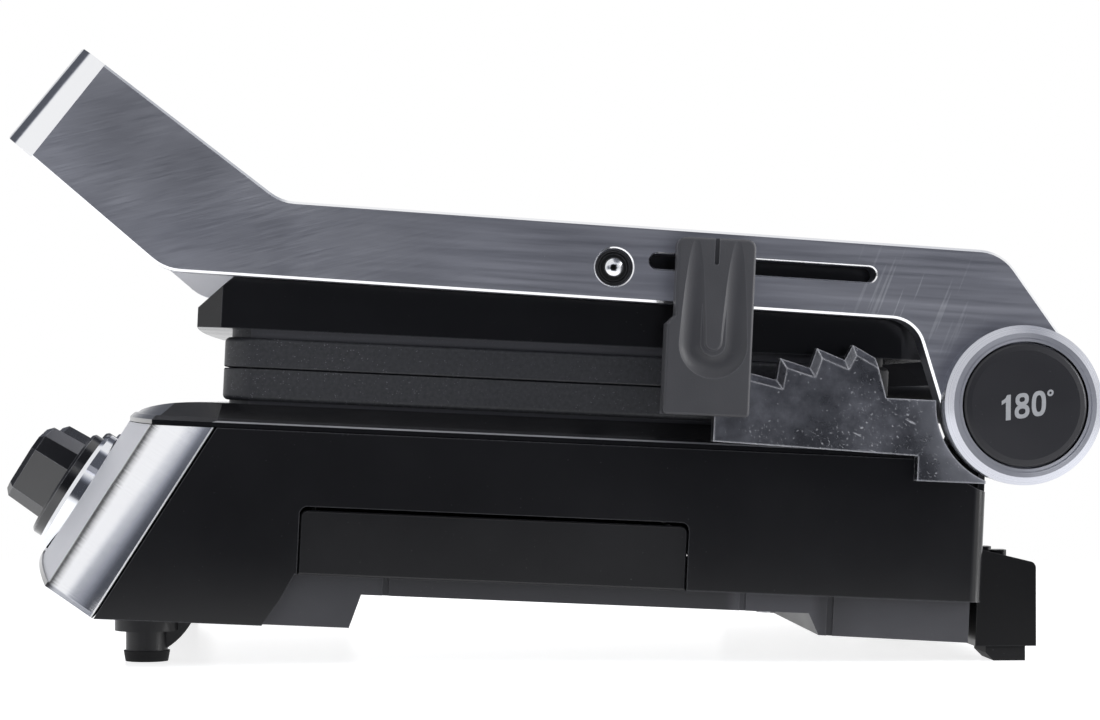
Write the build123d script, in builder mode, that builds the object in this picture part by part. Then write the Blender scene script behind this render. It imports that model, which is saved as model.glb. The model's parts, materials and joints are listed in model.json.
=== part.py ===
# Contact grill that opens out flat: a cast lift frame carries the upper plate over a base with the lower plate.
# X runs to the user's right, Y to the rear and Z up. The origin is on the counter under the middle of the grill.
# Most pieces are drawn from the parting plane of the two plates: v runs rearward along it and w stands square to it.
import os
from math import asin, atan2, cos, degrees, hypot, radians, sin, sqrt, tan

from build123d import *

os.makedirs("parts", exist_ok=True)

# Parting plane of the plates
TILT = 2.6            # fall to the rear in degrees
DECK_Y = 3.9          # a point of the plane in the middle of the grill
DECK_Z = 104.9

# Running gaps
FIT = 0.05            # shaft in a bush, on the radius
GAP = 0.4             # between pieces that move past each other
SEAM = 0.3            # between pieces that meet at a seam

# Grill plates; the other sizes along and across the grill follow from them
PLATE_HALF = 140.0    # half width
PLATE_FRONT = -121.0
PLATE_REAR = 130.0
PLATE_R = 15.0
PLATE_GAP = 0.2       # half the gap between the closed plates
LOWER_PLATE_T = 11.9
UPPER_PLATE_T = 11.1
PLATE_EDGE = 0.6      # rounding where the plates meet
PLATE_BACK = 2.0      # rounding of a plate's back edge
SEAT_IN = 2.5         # seat rim inside the edge of a plate
SEAT_LAP = 0.5        # seat rim short of the opening in the ledge
RIM = 4.0
TROUGH = 7.0          # depth of the cooking floor below the rim
RIDGE_H = 3.2
RIDGE_PITCH = 10.5
RIDGE_FOOT = 5.6
RIDGE_TOP = 3.0
RIDGE_SIDE = 24.0     # gutter at each side of the ridges
RIDGE_END = 15.0      # gutter at the front and rear of the ridges
DRAIN_IN = 16.5       # drain from the right edge of the plate
DRAIN_BACK = 149.0    # drain behind the front edge of the plate
DRAIN_R = 3.5
SPOUT_R = 5.5
SPOUT_LEN = 34.9

# Widths from the plates outward
DECK_SIDE = 10.0      # deck beyond the plates
ARM_PROUD = 10.0      # outer face of an arm beyond the deck
ARM_T = 14.0          # thickness of an arm
BASE_HALF = PLATE_HALF + DECK_SIDE
ARM_OUT = BASE_HALF + ARM_PROUD
ARM_IN = ARM_OUT - ARM_T

# Hinge
HUB_BACK = 43.4       # hinge axis behind the plates
HUB_V = PLATE_REAR + HUB_BACK
HUB_W = -0.9
HUB_R = 27.8          # boss of the arm
RACK_ROOM = 2.8       # room the rack keeps free round the boss
BASE_ROOM = 6.2       # room the base keeps free round the boss
HUB_SWEEP = HUB_R + RACK_ROOM
BASE_SWEEP = HUB_R + BASE_ROOM
SHAFT_R = 8.0
SHAFT_IN = 8.0        # end of the shaft inside the outer face of an arm
SHAFT_END = ARM_OUT - SHAFT_IN
BUSH_T = 2.0
POST_SIDE = 7.0       # outer face of a hinge post inside the side of the base
POST_T = 14.0
POST_IN = BASE_HALF - POST_SIDE - POST_T
POST_R = 19.0

# Lift frame: side view of the casting, (v, w)
GRIP_TOP = (PLATE_FRONT - 56.0, 114.0)
NECK_TOP = (PLATE_FRONT + 19.2, 61.3)
REAR_TOP = (HUB_V - 8.8, 55.7)
REAR_LOW = (HUB_V - 40.0, 28.9)
NECK_LOW = (PLATE_FRONT - 22.1, 33.8)
GRIP_LOW = (PLATE_FRONT - 81.3, 80.0)
NECK_R = 16.0
REAR_TOP_R = 17.0
REAR_LOW_R = 12.5
BELLY_R = 18.0
TIP_R = 1.2           # upper and lower corner of the grip
GRIP_T = 15.0         # thickness of the front grip bar
GRIP_R = 11.5         # outer corners of the frame seen along the grip's face
BAY_R = 6.0           # inner corners of the frame
ARM_EDGE = 0.9        # polished edge of the casting
RIM_EDGE = 0.5        # broken edges of its slot and recesses
POCKET_DEPTH = 8.0    # lightening pocket on the inner side of an arm
POCKET_WALL = 5.0
POCKET_FRONT = PLATE_FRONT + 29.0
POCKET_LEN = 88.0
POCKET_R = 3.0
RIB_T = 3.0

# Hub rings and the release button
RING_R = 29.4
RING_IN_R = 23.4
RING_H = 11.0
RING_FLOOR = 2.0
RING_BEVEL = 2.9
BUTTON_R = 22.7
BUTTON_H = 6.0
BUTTON_PROUD = 1.0    # face of the button beyond the ring
BUTTON_SKIN = 2.5
BUTTON_WALL = 2.2
BUTTON_TRAVEL = 3.5
STEM_R = 4.0
SPRING_R = 18.0       # outer edge of the disc spring
SPRING_EYE = 6.5
SPRING_T = 0.8

# Pivot bolts that carry the head
PIVOT_BACK = 141.9    # pivot behind the front edge of the plates
PIVOT_V = PLATE_FRONT + PIVOT_BACK
PIVOT_W = 42.9
PIVOT_R = 4.0
PIVOT_HEAD_R = 3.7
PIVOT_HEAD_H = 2.8
PIVOT_RECESS_R = 7.0
PIVOT_RECESS = 5.2
PIVOT_HOLD = 13.0     # length of bolt inside the side of the head
HEX_R = 1.7
HEX_DEEP = 1.8
WASHER_T = 1.8
BOSS_R = 7.0
BOSS_PROUD = 2.0      # boss of the head beyond its side

# Height slider and its slot in the right arm, (v, w)
SLOT_FRONT = (HUB_V - 136.5, 45.9)
SLOT_REAR = (HUB_V - 58.2, 44.7)
SLOT_W = 5.7
SLIDER_V = HUB_V - 115.7
SLIDER_LOW = -10.1
SLIDER_TOP = 54.9
SLIDER_W = 28.8
SLIDER_T = 8.4
SLIDER_R = 3.2
SLIDER_EDGE = 1.1
SLIDER_FRONT = 3.0    # the skirt below the arm is this much wider at the front
SKIRT_TOP = 26.0
SKIRT_BACK = 1.8      # inner face of the skirt inside the outer face of the arm
SKIRT_IN = ARM_OUT - SKIRT_BACK
LEDGE_LOW = 10.0
LEDGE_TOP = 20.0
GROOVE_R = 6.5        # round finger groove that deepens downward
GROOVE_PATH = 7.6     # its middle from the middle of the slider
GROOVE_DEPTH = 2.3
GROOVE_END = 16.4     # middle of its round end
TONGUE_W = 9.2
TONGUE_LOW = 0.7      # tongue below the face
NAIL_W = 1.6          # nail mark at the top of the tongue
NAIL_LEN = 9.0
NAIL_DEEP = 0.8
CLIP_T = 3.4
CLIP_H = 15.0
CLIP_R = 3.0

# Toothed rack on the right side of the base, (v from the hinge, w)
RACK_IN = BASE_HALF + SEAM
RACK_GAP = 0.7        # between the rack and the slider's skirt
RACK_T = SKIRT_IN - RACK_IN - RACK_GAP
LEDGE_IN = RACK_IN + 0.9
RACK_FRONT = -112.8
RACK_REAR = -10.8
RACK_TAB = -30.6      # bottom of the tab below the hub
TAB_FRONT = -36.4
RACK_FOOT = -19.4     # bottom edge of the rack
FIRST_LAND = (-98.9, 6.2)
TOOTH_FOOT = ((-90.1, 4.3), (-77.8, 9.3), (-65.0, 12.8))
TOOTH_TIP = ((-89.0, 12.4), (-75.5, 16.7), (-62.2, 18.5))
LAST_LAND = (-53.6, 14.1)
RACK_BACK = (-49.2, -0.5)
BEVEL_T = 2.2         # depth of the teeth's bevel
BEVEL_SLANT = 52.0    # its slant in degrees

# Heaters
TUBE_R = 3.2
TUBE_BEND = 24.0
TUBE_SIDE = 44.0      # tube inside the edge of the plate
TUBE_GAP = 0.3
SHEET_SIDE = 26.0     # reflector inside the side of the plate
SHEET_END = 17.0
SHEET_T = 1.0
SHEET_LIP = 6.0

# Head
HEAD_OFF = 3.1        # ledge of the head above the upper plate
HEAD_LOW = PLATE_GAP + UPPER_PLATE_T + HEAD_OFF
HEAD_BACK = 16.0      # head behind the plates
HEAD_REAR = PLATE_REAR + HEAD_BACK
HEAD_FORE = 10.1      # front corners of the head before the plates
HEAD_FRONT = PLATE_FRONT - HEAD_FORE
HEAD_CUT = 8.8        # cut of those corners
HEAD_BOW = 3.0
HEAD_HALF = PLATE_HALF
HEAD_LIP = HEAD_LOW + 4.9     # top of the upright front edge
HEAD_TOP = HEAD_LOW + 35.6
HEAD_R = 14.0         # rear corners
HEAD_WALL = 2.5
COVER_RISE = 8.5
COVER_T = 1.5
COVER_IN = 10.0       # top cover inside the side of the head
FLANGE = 8.0          # ledge that carries a plate

# Base
DECK_OFF = 1.3        # deck below the lower plate
DOME_W = -PLATE_GAP - LOWER_PLATE_T - DECK_OFF
DOME_STEP = 2.4       # how far the raised part of the deck starts inside the rim
DOME_H = 5.6
RIM_W = DOME_W - DOME_H       # top edge of the deck frame at the side
RIM_H = 3.3
SEAM_W = RIM_W - RIM_H        # seam between deck frame and shell
SHELL_H = 52.7
BASE_LOW = SEAM_W - SHELL_H
BASE_WALL = 2.5
BASE_R = 5.0
BASE_REAR = HUB_V - 8.4
RAKE = 30.0           # lean of the front panel from square to the deck
SLOPE_V = PLATE_FRONT - 0.7   # where the sloping side edge meets the seam
SLOPE_LEN = 83.3
TOE_HEEL = (PLATE_FRONT + 19.0, PLATE_FRONT + 25.5, PLATE_FRONT + 30.2)
HEEL_STEP = 9.3       # height of the steep part of the heel
NOTCH_FRONT = PLATE_FRONT + 31.0    # drip tray opening in the right side
NOTCH_LEN = 144.0
NOTCH_REAR = NOTCH_FRONT + NOTCH_LEN
NOTCH_TOP = SEAM_W - 27.7
NOTCH_R = 3.0

# Front panel, measured out from the sloping side edge
CREASE_N = 21.0
CREASE_IN = 8.0       # how far the trim leans in at the crease
BOW_RISE = 14.0       # middle of the bowed fascia beyond the crease
TRIM_T = 2.0
TRIM_BELLY = 2.1
FASCIA_T = 3.0
LIP_T = 1.8
LIP_PROUD = 0.7

# Knobs
KNOB_X = 35.0
KNOB_S = 54.8         # down the slope
BEZEL_R = 26.0
BEZEL_TOP = 38.4
BEZEL_LIP = 1.2
SKIRT_R = 23.0
KNOB_FOOT = 36.6
SKIRT_H = 6.6
GRIP_KNOB = 30.5      # width of the square grip
GRIP_CUT = 6.0        # its cut corners
KNOB_TURN = -12.0     # how far the grip stands turned
KNOB_TOP = 60.4
KNOB_EDGE = 2.0
KNOB_TAPER = 3.0
MARK_W = 1.8          # pointer groove
KNOB_SHAFT_R = 3.0
KNOB_SHAFT_LEN = 14.0
UNIT_H = 20.0         # switch units behind the knobs
BUSH_H = 8.0
THERMOSTAT = (30.0, 26.0, 5.5)
TIMER = (36.0, 34.0, 6.5)

# Drip tray
TRAY_END = 55.0       # tray shorter than the base is wide
TRAY_DEEP = 2 * BASE_HALF - TRAY_END
TRAY_LOW = BASE_LOW + 1.6
TRAY_TOP = NOTCH_TOP - 2.0
TRAY_WALL = 1.8
TRAY_R = 6.0
TRAY_SIDE = 4.0       # pan is this much narrower than the opening at each end
PANEL_T = 3.0
PANEL_INSET = 0.9
PANEL_DROP = 1.4      # panel below the top of the opening

# Cord gland in the rear wall, (x, w)
GLAND = (-70.0, BASE_LOW + 35.0)
GLAND_R = 9.5
GLAND_BORE = 4.0
GLAND_NECK = 6.8

# Bottom cover
COVER_SIDE = BASE_HALF - 7.0
COVER_WALL = 2.5
TOE_STEP = NOTCH_FRONT + 20.0
BELLY_W = BASE_LOW - 7.0
SKID_V = BASE_REAR - 64.0
SKID_W = BASE_LOW - 15.0
SLIT_W = 4.0
SLIT_LEN = 30.0
SLIT_PITCH = 18.0
CHASE_W = 2.4         # upright grooves in the sides of the cover
CHASE_DEEP = 1.2
SCREW_R = 3.6
SCREW_IN = 16.0       # screws from the side of the cover
SCREW_BACK = 14.0     # and before its skid
TERMINAL = (46.0, 18.0, 14.0)
POLE_PITCH = 10.6
POLE_R = 3.0

# Stand and feet, measured from the counter
STAND_HALF = BASE_HALF - 11.0
STAND_DEEP = 22.57
STAND_LOW_Z = 5.5
STAND_TOP_Z = 42.0
STAND_BACK_Z = 36.8
STAND_WALL = 2.6
FOOT_X = BASE_HALF - 33.0
FOOT_BACK = 17.5      # front foot behind the foot of the slope
COLLAR_R = 12.0
COLLAR_Z = 11.5
GUSSET_T = 5.0
GUSSET_LEN = 20.0
FOOT_R = 7.85
PAD_R = 8.8
PAD_H = 4.0
REAR_PAD_X = STAND_HALF - 12.0
REAR_PAD_L = 22.0
REAR_PAD_IN = 19.0    # front of a rear pad from the back of the stand
REAR_PAD_W = 15.0

ST, CT = sin(radians(TILT)), cos(radians(TILT))
LEAN = radians(RAKE + TILT)
DOWN = (0, -sin(LEAN), -cos(LEAN))
OUT = (0, -cos(LEAN), sin(LEAN))


def world(x, v, w):
    """A point given by the parting plane, in the frame of the whole grill."""
    return (x, DECK_Y + v * CT + w * ST, DECK_Z - v * ST + w * CT)


def from_floor(y, z):
    """The (v, w) of a point given by its height over the counter."""
    return ((y - DECK_Y) * CT - (z - DECK_Z) * ST, (y - DECK_Y) * ST + (z - DECK_Z) * CT)


def side(x):
    """Side view at x: sketches read (v, w) and grow toward the user's right."""
    return Plane(origin=world(x, 0, 0), x_dir=(0, CT, -ST), z_dir=(1, 0, 0))


def deck(w):
    """Plan view at height w: sketches read (x, v) and grow up."""
    return Plane(origin=world(0, 0, w), x_dir=(1, 0, 0), z_dir=(0, ST, CT))


def across(v):
    """Front view at v: sketches read (x, w) and grow toward the front."""
    return Plane(origin=world(0, v, 0), x_dir=(1, 0, 0), z_dir=(0, -CT, ST))


def slope_point(n, s):
    """A point of the front slope, n out from the side edge and s down the slope."""
    x, y, z = world(0, SLOPE_V, SEAM_W)
    return (x, y + n * OUT[1] + s * DOWN[1], z + n * OUT[2] + s * DOWN[2])


def panel(n):
    """Plane of the front panel: sketches read (x, up the slope) and grow outward."""
    return Plane(origin=slope_point(n, 0), x_dir=(1, 0, 0), z_dir=OUT)


def section(s):
    """Section square to the slope: sketches read (x, n) and grow down the slope."""
    return Plane(origin=slope_point(0, s), x_dir=(1, 0, 0), z_dir=DOWN)


def unit(a, b):
    d = hypot(b[0] - a[0], b[1] - a[1])
    return ((b[0] - a[0]) / d, (b[1] - a[1]) / d)


def from_hub(points):
    """Points given from the hinge axis along the deck."""
    return [(HUB_V + v, w) for v, w in points]


def touch(p, c, r, turn):
    """Where a line from p touches the circle round c."""
    far = hypot(c[0] - p[0], c[1] - p[1])
    a = atan2(c[1] - p[1], c[0] - p[0]) + turn * asin(r / far)
    reach = sqrt(far * far - r * r)
    return (p[0] + reach * cos(a), p[1] + reach * sin(a))


def near(corners, *points):
    """The corners of a sketch that lie at the given points."""
    return [min(corners, key=lambda c: hypot(c.X - p[0], c.Y - p[1])) for p in points]


def save(piece, name):
    piece.part.label = name
    export_step(piece.part, "parts/" + name + ".step")


def bow_n(x, n_side, n_mid, half):
    """Height of the bowed front at x."""
    rise = n_mid - n_side
    r = (half * half + rise * rise) / (2 * rise)
    return n_mid - r + sqrt(r * r - x * x)


HUB = (HUB_V, HUB_W)
GRIP_DOWN = unit(GRIP_TOP, GRIP_LOW)
GRIP_MID = ((GRIP_TOP[0] + GRIP_LOW[0]) / 2, (GRIP_TOP[1] + GRIP_LOW[1]) / 2)
g0 = world(0, *GRIP_MID)
g1 = world(0, GRIP_MID[0] + GRIP_DOWN[0], GRIP_MID[1] + GRIP_DOWN[1])
GRIP_PLANE = Plane(origin=g0, x_dir=(1, 0, 0), z_dir=(0, g1[1] - g0[1], g1[2] - g0[2]))
SLOT_DIR = unit(SLOT_FRONT, SLOT_REAR)
SLOT_MID = ((SLOT_FRONT[0] + SLOT_REAR[0]) / 2, (SLOT_FRONT[1] + SLOT_REAR[1]) / 2)
SLOT_LEN = hypot(SLOT_REAR[0] - SLOT_FRONT[0], SLOT_REAR[1] - SLOT_FRONT[1])
SLOT_TILT = degrees(atan2(SLOT_DIR[1], SLOT_DIR[0]))
STEM_W = SLOT_FRONT[1] + (SLIDER_V - SLOT_FRONT[0]) * SLOT_DIR[1] / SLOT_DIR[0]


def belly_w(v):
    """Height of the lower edge of the arm at v."""
    u = unit(NECK_LOW, REAR_LOW)
    return NECK_LOW[1] + (v - NECK_LOW[0]) * u[1] / u[0]


def top_w(v):
    """Height of the upper edge of the arm at v."""
    u = unit(NECK_TOP, REAR_TOP)
    return NECK_TOP[1] + (v - NECK_TOP[0]) * u[1] / u[0]


# The lift frame is the side view of the casting, kept where the U of its arms and grip bar stands.
with BuildPart() as lift_frame:
    with BuildSketch(side(-ARM_OUT)) as outline:
        rear = touch(REAR_TOP, HUB, HUB_R, 1)
        inner = touch(REAR_LOW, HUB, HUB_R, -1)
        Polygon(GRIP_TOP, NECK_TOP, REAR_TOP, rear, HUB, inner, REAR_LOW, NECK_LOW, GRIP_LOW, align=None)
        with Locations(HUB):
            Circle(HUB_R)
        fillet(near(outline.vertices(), NECK_TOP), NECK_R)
        fillet(near(outline.vertices(), REAR_TOP), REAR_TOP_R)
        fillet(near(outline.vertices(), REAR_LOW), REAR_LOW_R)
        fillet(near(outline.vertices(), NECK_LOW), BELLY_R)
        fillet(near(outline.vertices(), GRIP_TOP, GRIP_LOW), TIP_R)
    extrude(amount=2 * ARM_OUT)
    sides = lift_frame.faces().filter_by(Axis.X)
    chamfer(sides.edges(), ARM_EDGE)
    with BuildSketch(GRIP_PLANE) as plan:
        reach = HUB_V - GRIP_LOW[0] + 4 * HUB_R
        Polygon((-ARM_OUT, 0), (ARM_OUT, 0), (ARM_OUT, -reach), (-ARM_OUT, -reach), align=None)
        fillet(near(plan.vertices(), (-ARM_OUT, 0), (ARM_OUT, 0)), GRIP_R)
    extrude(amount=HUB_V - GRIP_LOW[0], both=True, mode=Mode.INTERSECT)
    with BuildSketch(GRIP_PLANE) as bay:
        Polygon((-ARM_IN, -GRIP_T), (ARM_IN, -GRIP_T), (ARM_IN, -reach), (-ARM_IN, -reach), align=None)
        fillet(near(bay.vertices(), (-ARM_IN, -GRIP_T), (ARM_IN, -GRIP_T)), BAY_R)
    extrude(amount=HUB_V - GRIP_LOW[0], both=True, mode=Mode.SUBTRACT)
    # Lightening pockets on the inner side, parted by ribs
    bays = 3
    span = (POCKET_LEN - (bays - 1) * RIB_T) / bays
    for x, depth in ((ARM_IN, POCKET_DEPTH), (-ARM_IN, -POCKET_DEPTH)):
        with BuildSketch(side(x)) as pockets:
            for i in range(bays):
                a = POCKET_FRONT + i * (span + RIB_T)
                b = a + span
                Polygon(
                    (a, belly_w(a) + POCKET_WALL),
                    (b, belly_w(b) + POCKET_WALL),
                    (b, top_w(b) - POCKET_WALL),
                    (a, top_w(a) - POCKET_WALL),
                    align=None,
                )
            fillet(pockets.vertices(), POCKET_R)
        extrude(amount=depth, mode=Mode.SUBTRACT)
    # Bores for the shaft, the button's stem and the pivot bolts
    with BuildSketch(side(-SHAFT_END)):
        with Locations(HUB):
            Circle(SHAFT_R)
    extrude(amount=2 * SHAFT_END, mode=Mode.SUBTRACT)
    with BuildSketch(side(SHAFT_END - 1)):
        with Locations(HUB):
            Circle(STEM_R + 1)
    extrude(amount=ARM_T, mode=Mode.SUBTRACT)
    with BuildSketch(side(-ARM_OUT - 1)):
        with Locations((PIVOT_V, PIVOT_W)):
            Circle(PIVOT_R)
    extrude(amount=2 * ARM_OUT + 2, mode=Mode.SUBTRACT)
    for x in (ARM_OUT - PIVOT_RECESS, -ARM_OUT - 1):
        with BuildSketch(side(x)):
            with Locations((PIVOT_V, PIVOT_W)):
                Circle(PIVOT_RECESS_R)
        extrude(amount=PIVOT_RECESS + 1, mode=Mode.SUBTRACT)
    # Slot of the height slider in the right arm
    with BuildSketch(side(ARM_IN - 1)):
        with Locations(SLOT_MID):
            SlotCenterToCenter(SLOT_LEN, SLOT_W, rotation=SLOT_TILT)
    extrude(amount=ARM_T + 2, mode=Mode.SUBTRACT)
    # Broken edges of the slot and the recesses
    for end in (0, -1):
        face = lift_frame.faces().filter_by(Axis.X).sort_by(Axis.X)[end]
        chamfer([edge for wire in face.inner_wires() for edge in wire.edges()], RIM_EDGE)
save(lift_frame, "lift_frame")

with BuildPart() as hinge_shaft:
    with BuildSketch(side(-SHAFT_END)):
        with Locations(HUB):
            Circle(SHAFT_R)
    extrude(amount=2 * SHAFT_END)
    chamfer(hinge_shaft.edges().filter_by(GeomType.CIRCLE), 0.8)
save(hinge_shaft, "hinge_shaft")


def hub_ring(turn):
    """A turned ring on the outer face of an arm; turn is 1 on the right and -1 on the left."""
    start = ARM_OUT
    spin = Plane(origin=world(0, *HUB), x_dir=(turn, 0, 0), z_dir=(0, turn * ST, turn * CT))
    with BuildPart() as ring:
        with BuildSketch(spin):
            with BuildLine():
                Polyline(
                    (start, STEM_R + GAP),
                    (start, RING_R),
                    (start + RING_H - RING_BEVEL, RING_R),
                    (start + RING_H, RING_R - RING_BEVEL),
                    (start + RING_H, RING_IN_R + 1.4),
                    (start + RING_H - 0.8, RING_IN_R + 1.4),
                    (start + RING_H - 0.8, RING_IN_R + 0.9),
                    (start + RING_H, RING_IN_R + 0.9),
                    (start + RING_H, RING_IN_R),
                    (start + RING_FLOOR, RING_IN_R),
                    (start + RING_FLOOR, STEM_R + GAP),
                    close=True,
                )
            make_face()
        revolve(axis=Axis(world(0, *HUB), (1, 0, 0)), revolution_arc=360)
    return ring


hub_ring_right = hub_ring(1)
save(hub_ring_right, "hub_ring_right")
hub_ring_left = hub_ring(-1)
save(hub_ring_left, "hub_ring_left")

BUTTON_FACE = ARM_OUT + RING_H + BUTTON_PROUD


def hub_disc(turn, foot):
    """A dished cap inside a hub ring, hollow at the back, with a stem."""
    spin = Plane(origin=world(0, *HUB), x_dir=(turn, 0, 0), z_dir=(0, turn * ST, turn * CT))
    back = BUTTON_FACE - BUTTON_H
    with BuildPart() as disc:
        with BuildSketch(spin):
            with BuildLine():
                Polyline(
                    (foot, 0),
                    (foot, STEM_R),
                    (BUTTON_FACE - BUTTON_SKIN, STEM_R),
                    (BUTTON_FACE - BUTTON_SKIN, BUTTON_R - BUTTON_WALL),
                    (back, BUTTON_R - BUTTON_WALL),
                    (back, BUTTON_R),
                    (BUTTON_FACE - 1.2, BUTTON_R),
                    (BUTTON_FACE - 0.4, BUTTON_R - 0.8),
                    (BUTTON_FACE, BUTTON_R - 2.6),
                    (BUTTON_FACE, 0),
                    close=True,
                )
            make_face()
        revolve(axis=Axis(world(0, *HUB), (1, 0, 0)), revolution_arc=360)
    return disc


release_button = hub_disc(1, SHAFT_END + BUTTON_TRAVEL + GAP)
save(release_button, "release_button")
hub_cap_left = hub_disc(-1, ARM_OUT)
save(hub_cap_left, "hub_cap_left")

# The button returns on a coned disc spring
with BuildPart() as button_spring:
    low = ARM_OUT + RING_FLOOR
    high = BUTTON_FACE - BUTTON_SKIN
    spin = Plane(origin=world(0, *HUB), x_dir=(1, 0, 0), z_dir=(0, ST, CT))
    with BuildSketch(spin):
        Polygon(
            (low, SPRING_R),
            (low + SPRING_T, SPRING_R),
            (high, SPRING_EYE + SPRING_T),
            (high, SPRING_EYE),
            (high - SPRING_T, SPRING_EYE),
            (low, SPRING_R - SPRING_T),
            align=None,
        )
    revolve(axis=Axis(world(0, *HUB), (1, 0, 0)), revolution_arc=360)
save(button_spring, "button_spring")


PIVOT_SHANK_R = PIVOT_HEAD_R - 1.2


def pivot_bolt(turn):
    """A socket-head bolt through the arm into the head."""
    spin = Plane(origin=world(0, PIVOT_V, PIVOT_W), x_dir=(turn, 0, 0), z_dir=(0, turn * ST, turn * CT))
    seat = ARM_OUT - PIVOT_RECESS
    face = seat + WASHER_T + PIVOT_HEAD_H
    edge = 0.5
    with BuildPart() as bolt:
        with BuildSketch(spin):
            with BuildLine():
                Polyline(
                    (HEAD_HALF - PIVOT_HOLD, 0),
                    (HEAD_HALF - PIVOT_HOLD, PIVOT_R - FIT),
                    (seat, PIVOT_R - FIT),
                    (seat, PIVOT_SHANK_R),
                    (seat + WASHER_T, PIVOT_SHANK_R),
                    (seat + WASHER_T, PIVOT_HEAD_R),
                    (face - edge, PIVOT_HEAD_R),
                    (face, PIVOT_HEAD_R - edge),
                    (face, 0),
                    close=True,
                )
            make_face()
        revolve(axis=Axis(world(0, PIVOT_V, PIVOT_W), (1, 0, 0)), revolution_arc=360)
        face_plane = Plane(
            origin=world(turn * face, PIVOT_V, PIVOT_W), x_dir=(0, CT, -ST), z_dir=(turn, 0, 0)
        )
        with BuildSketch(face_plane):
            RegularPolygon(HEX_R, 6)
        extrude(amount=-HEX_DEEP, mode=Mode.SUBTRACT)
    return bolt


pivot_bolt_right = pivot_bolt(1)
save(pivot_bolt_right, "pivot_bolt_right")
pivot_bolt_left = pivot_bolt(-1)
save(pivot_bolt_left, "pivot_bolt_left")

# Dark dished washers under the bolt heads
with BuildPart() as pivot_washers:
    seat = ARM_OUT - PIVOT_RECESS
    for turn in (1, -1):
        spin = Plane(origin=world(0, PIVOT_V, PIVOT_W), x_dir=(turn, 0, 0), z_dir=(0, turn * ST, turn * CT))
        with BuildSketch(spin):
            Polygon(
                (seat, PIVOT_SHANK_R + GAP),
                (seat, PIVOT_RECESS_R - GAP),
                (seat + 1.5 * WASHER_T, PIVOT_RECESS_R - GAP),
                (seat + 1.5 * WASHER_T, PIVOT_RECESS_R - 3 * GAP),
                (seat + WASHER_T, PIVOT_RECESS_R - 5 * GAP),
                (seat + WASHER_T, PIVOT_SHANK_R + GAP),
                align=None,
            )
        revolve(axis=Axis(world(0, PIVOT_V, PIVOT_W), (1, 0, 0)), revolution_arc=360)
save(pivot_washers, "pivot_washers")

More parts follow.
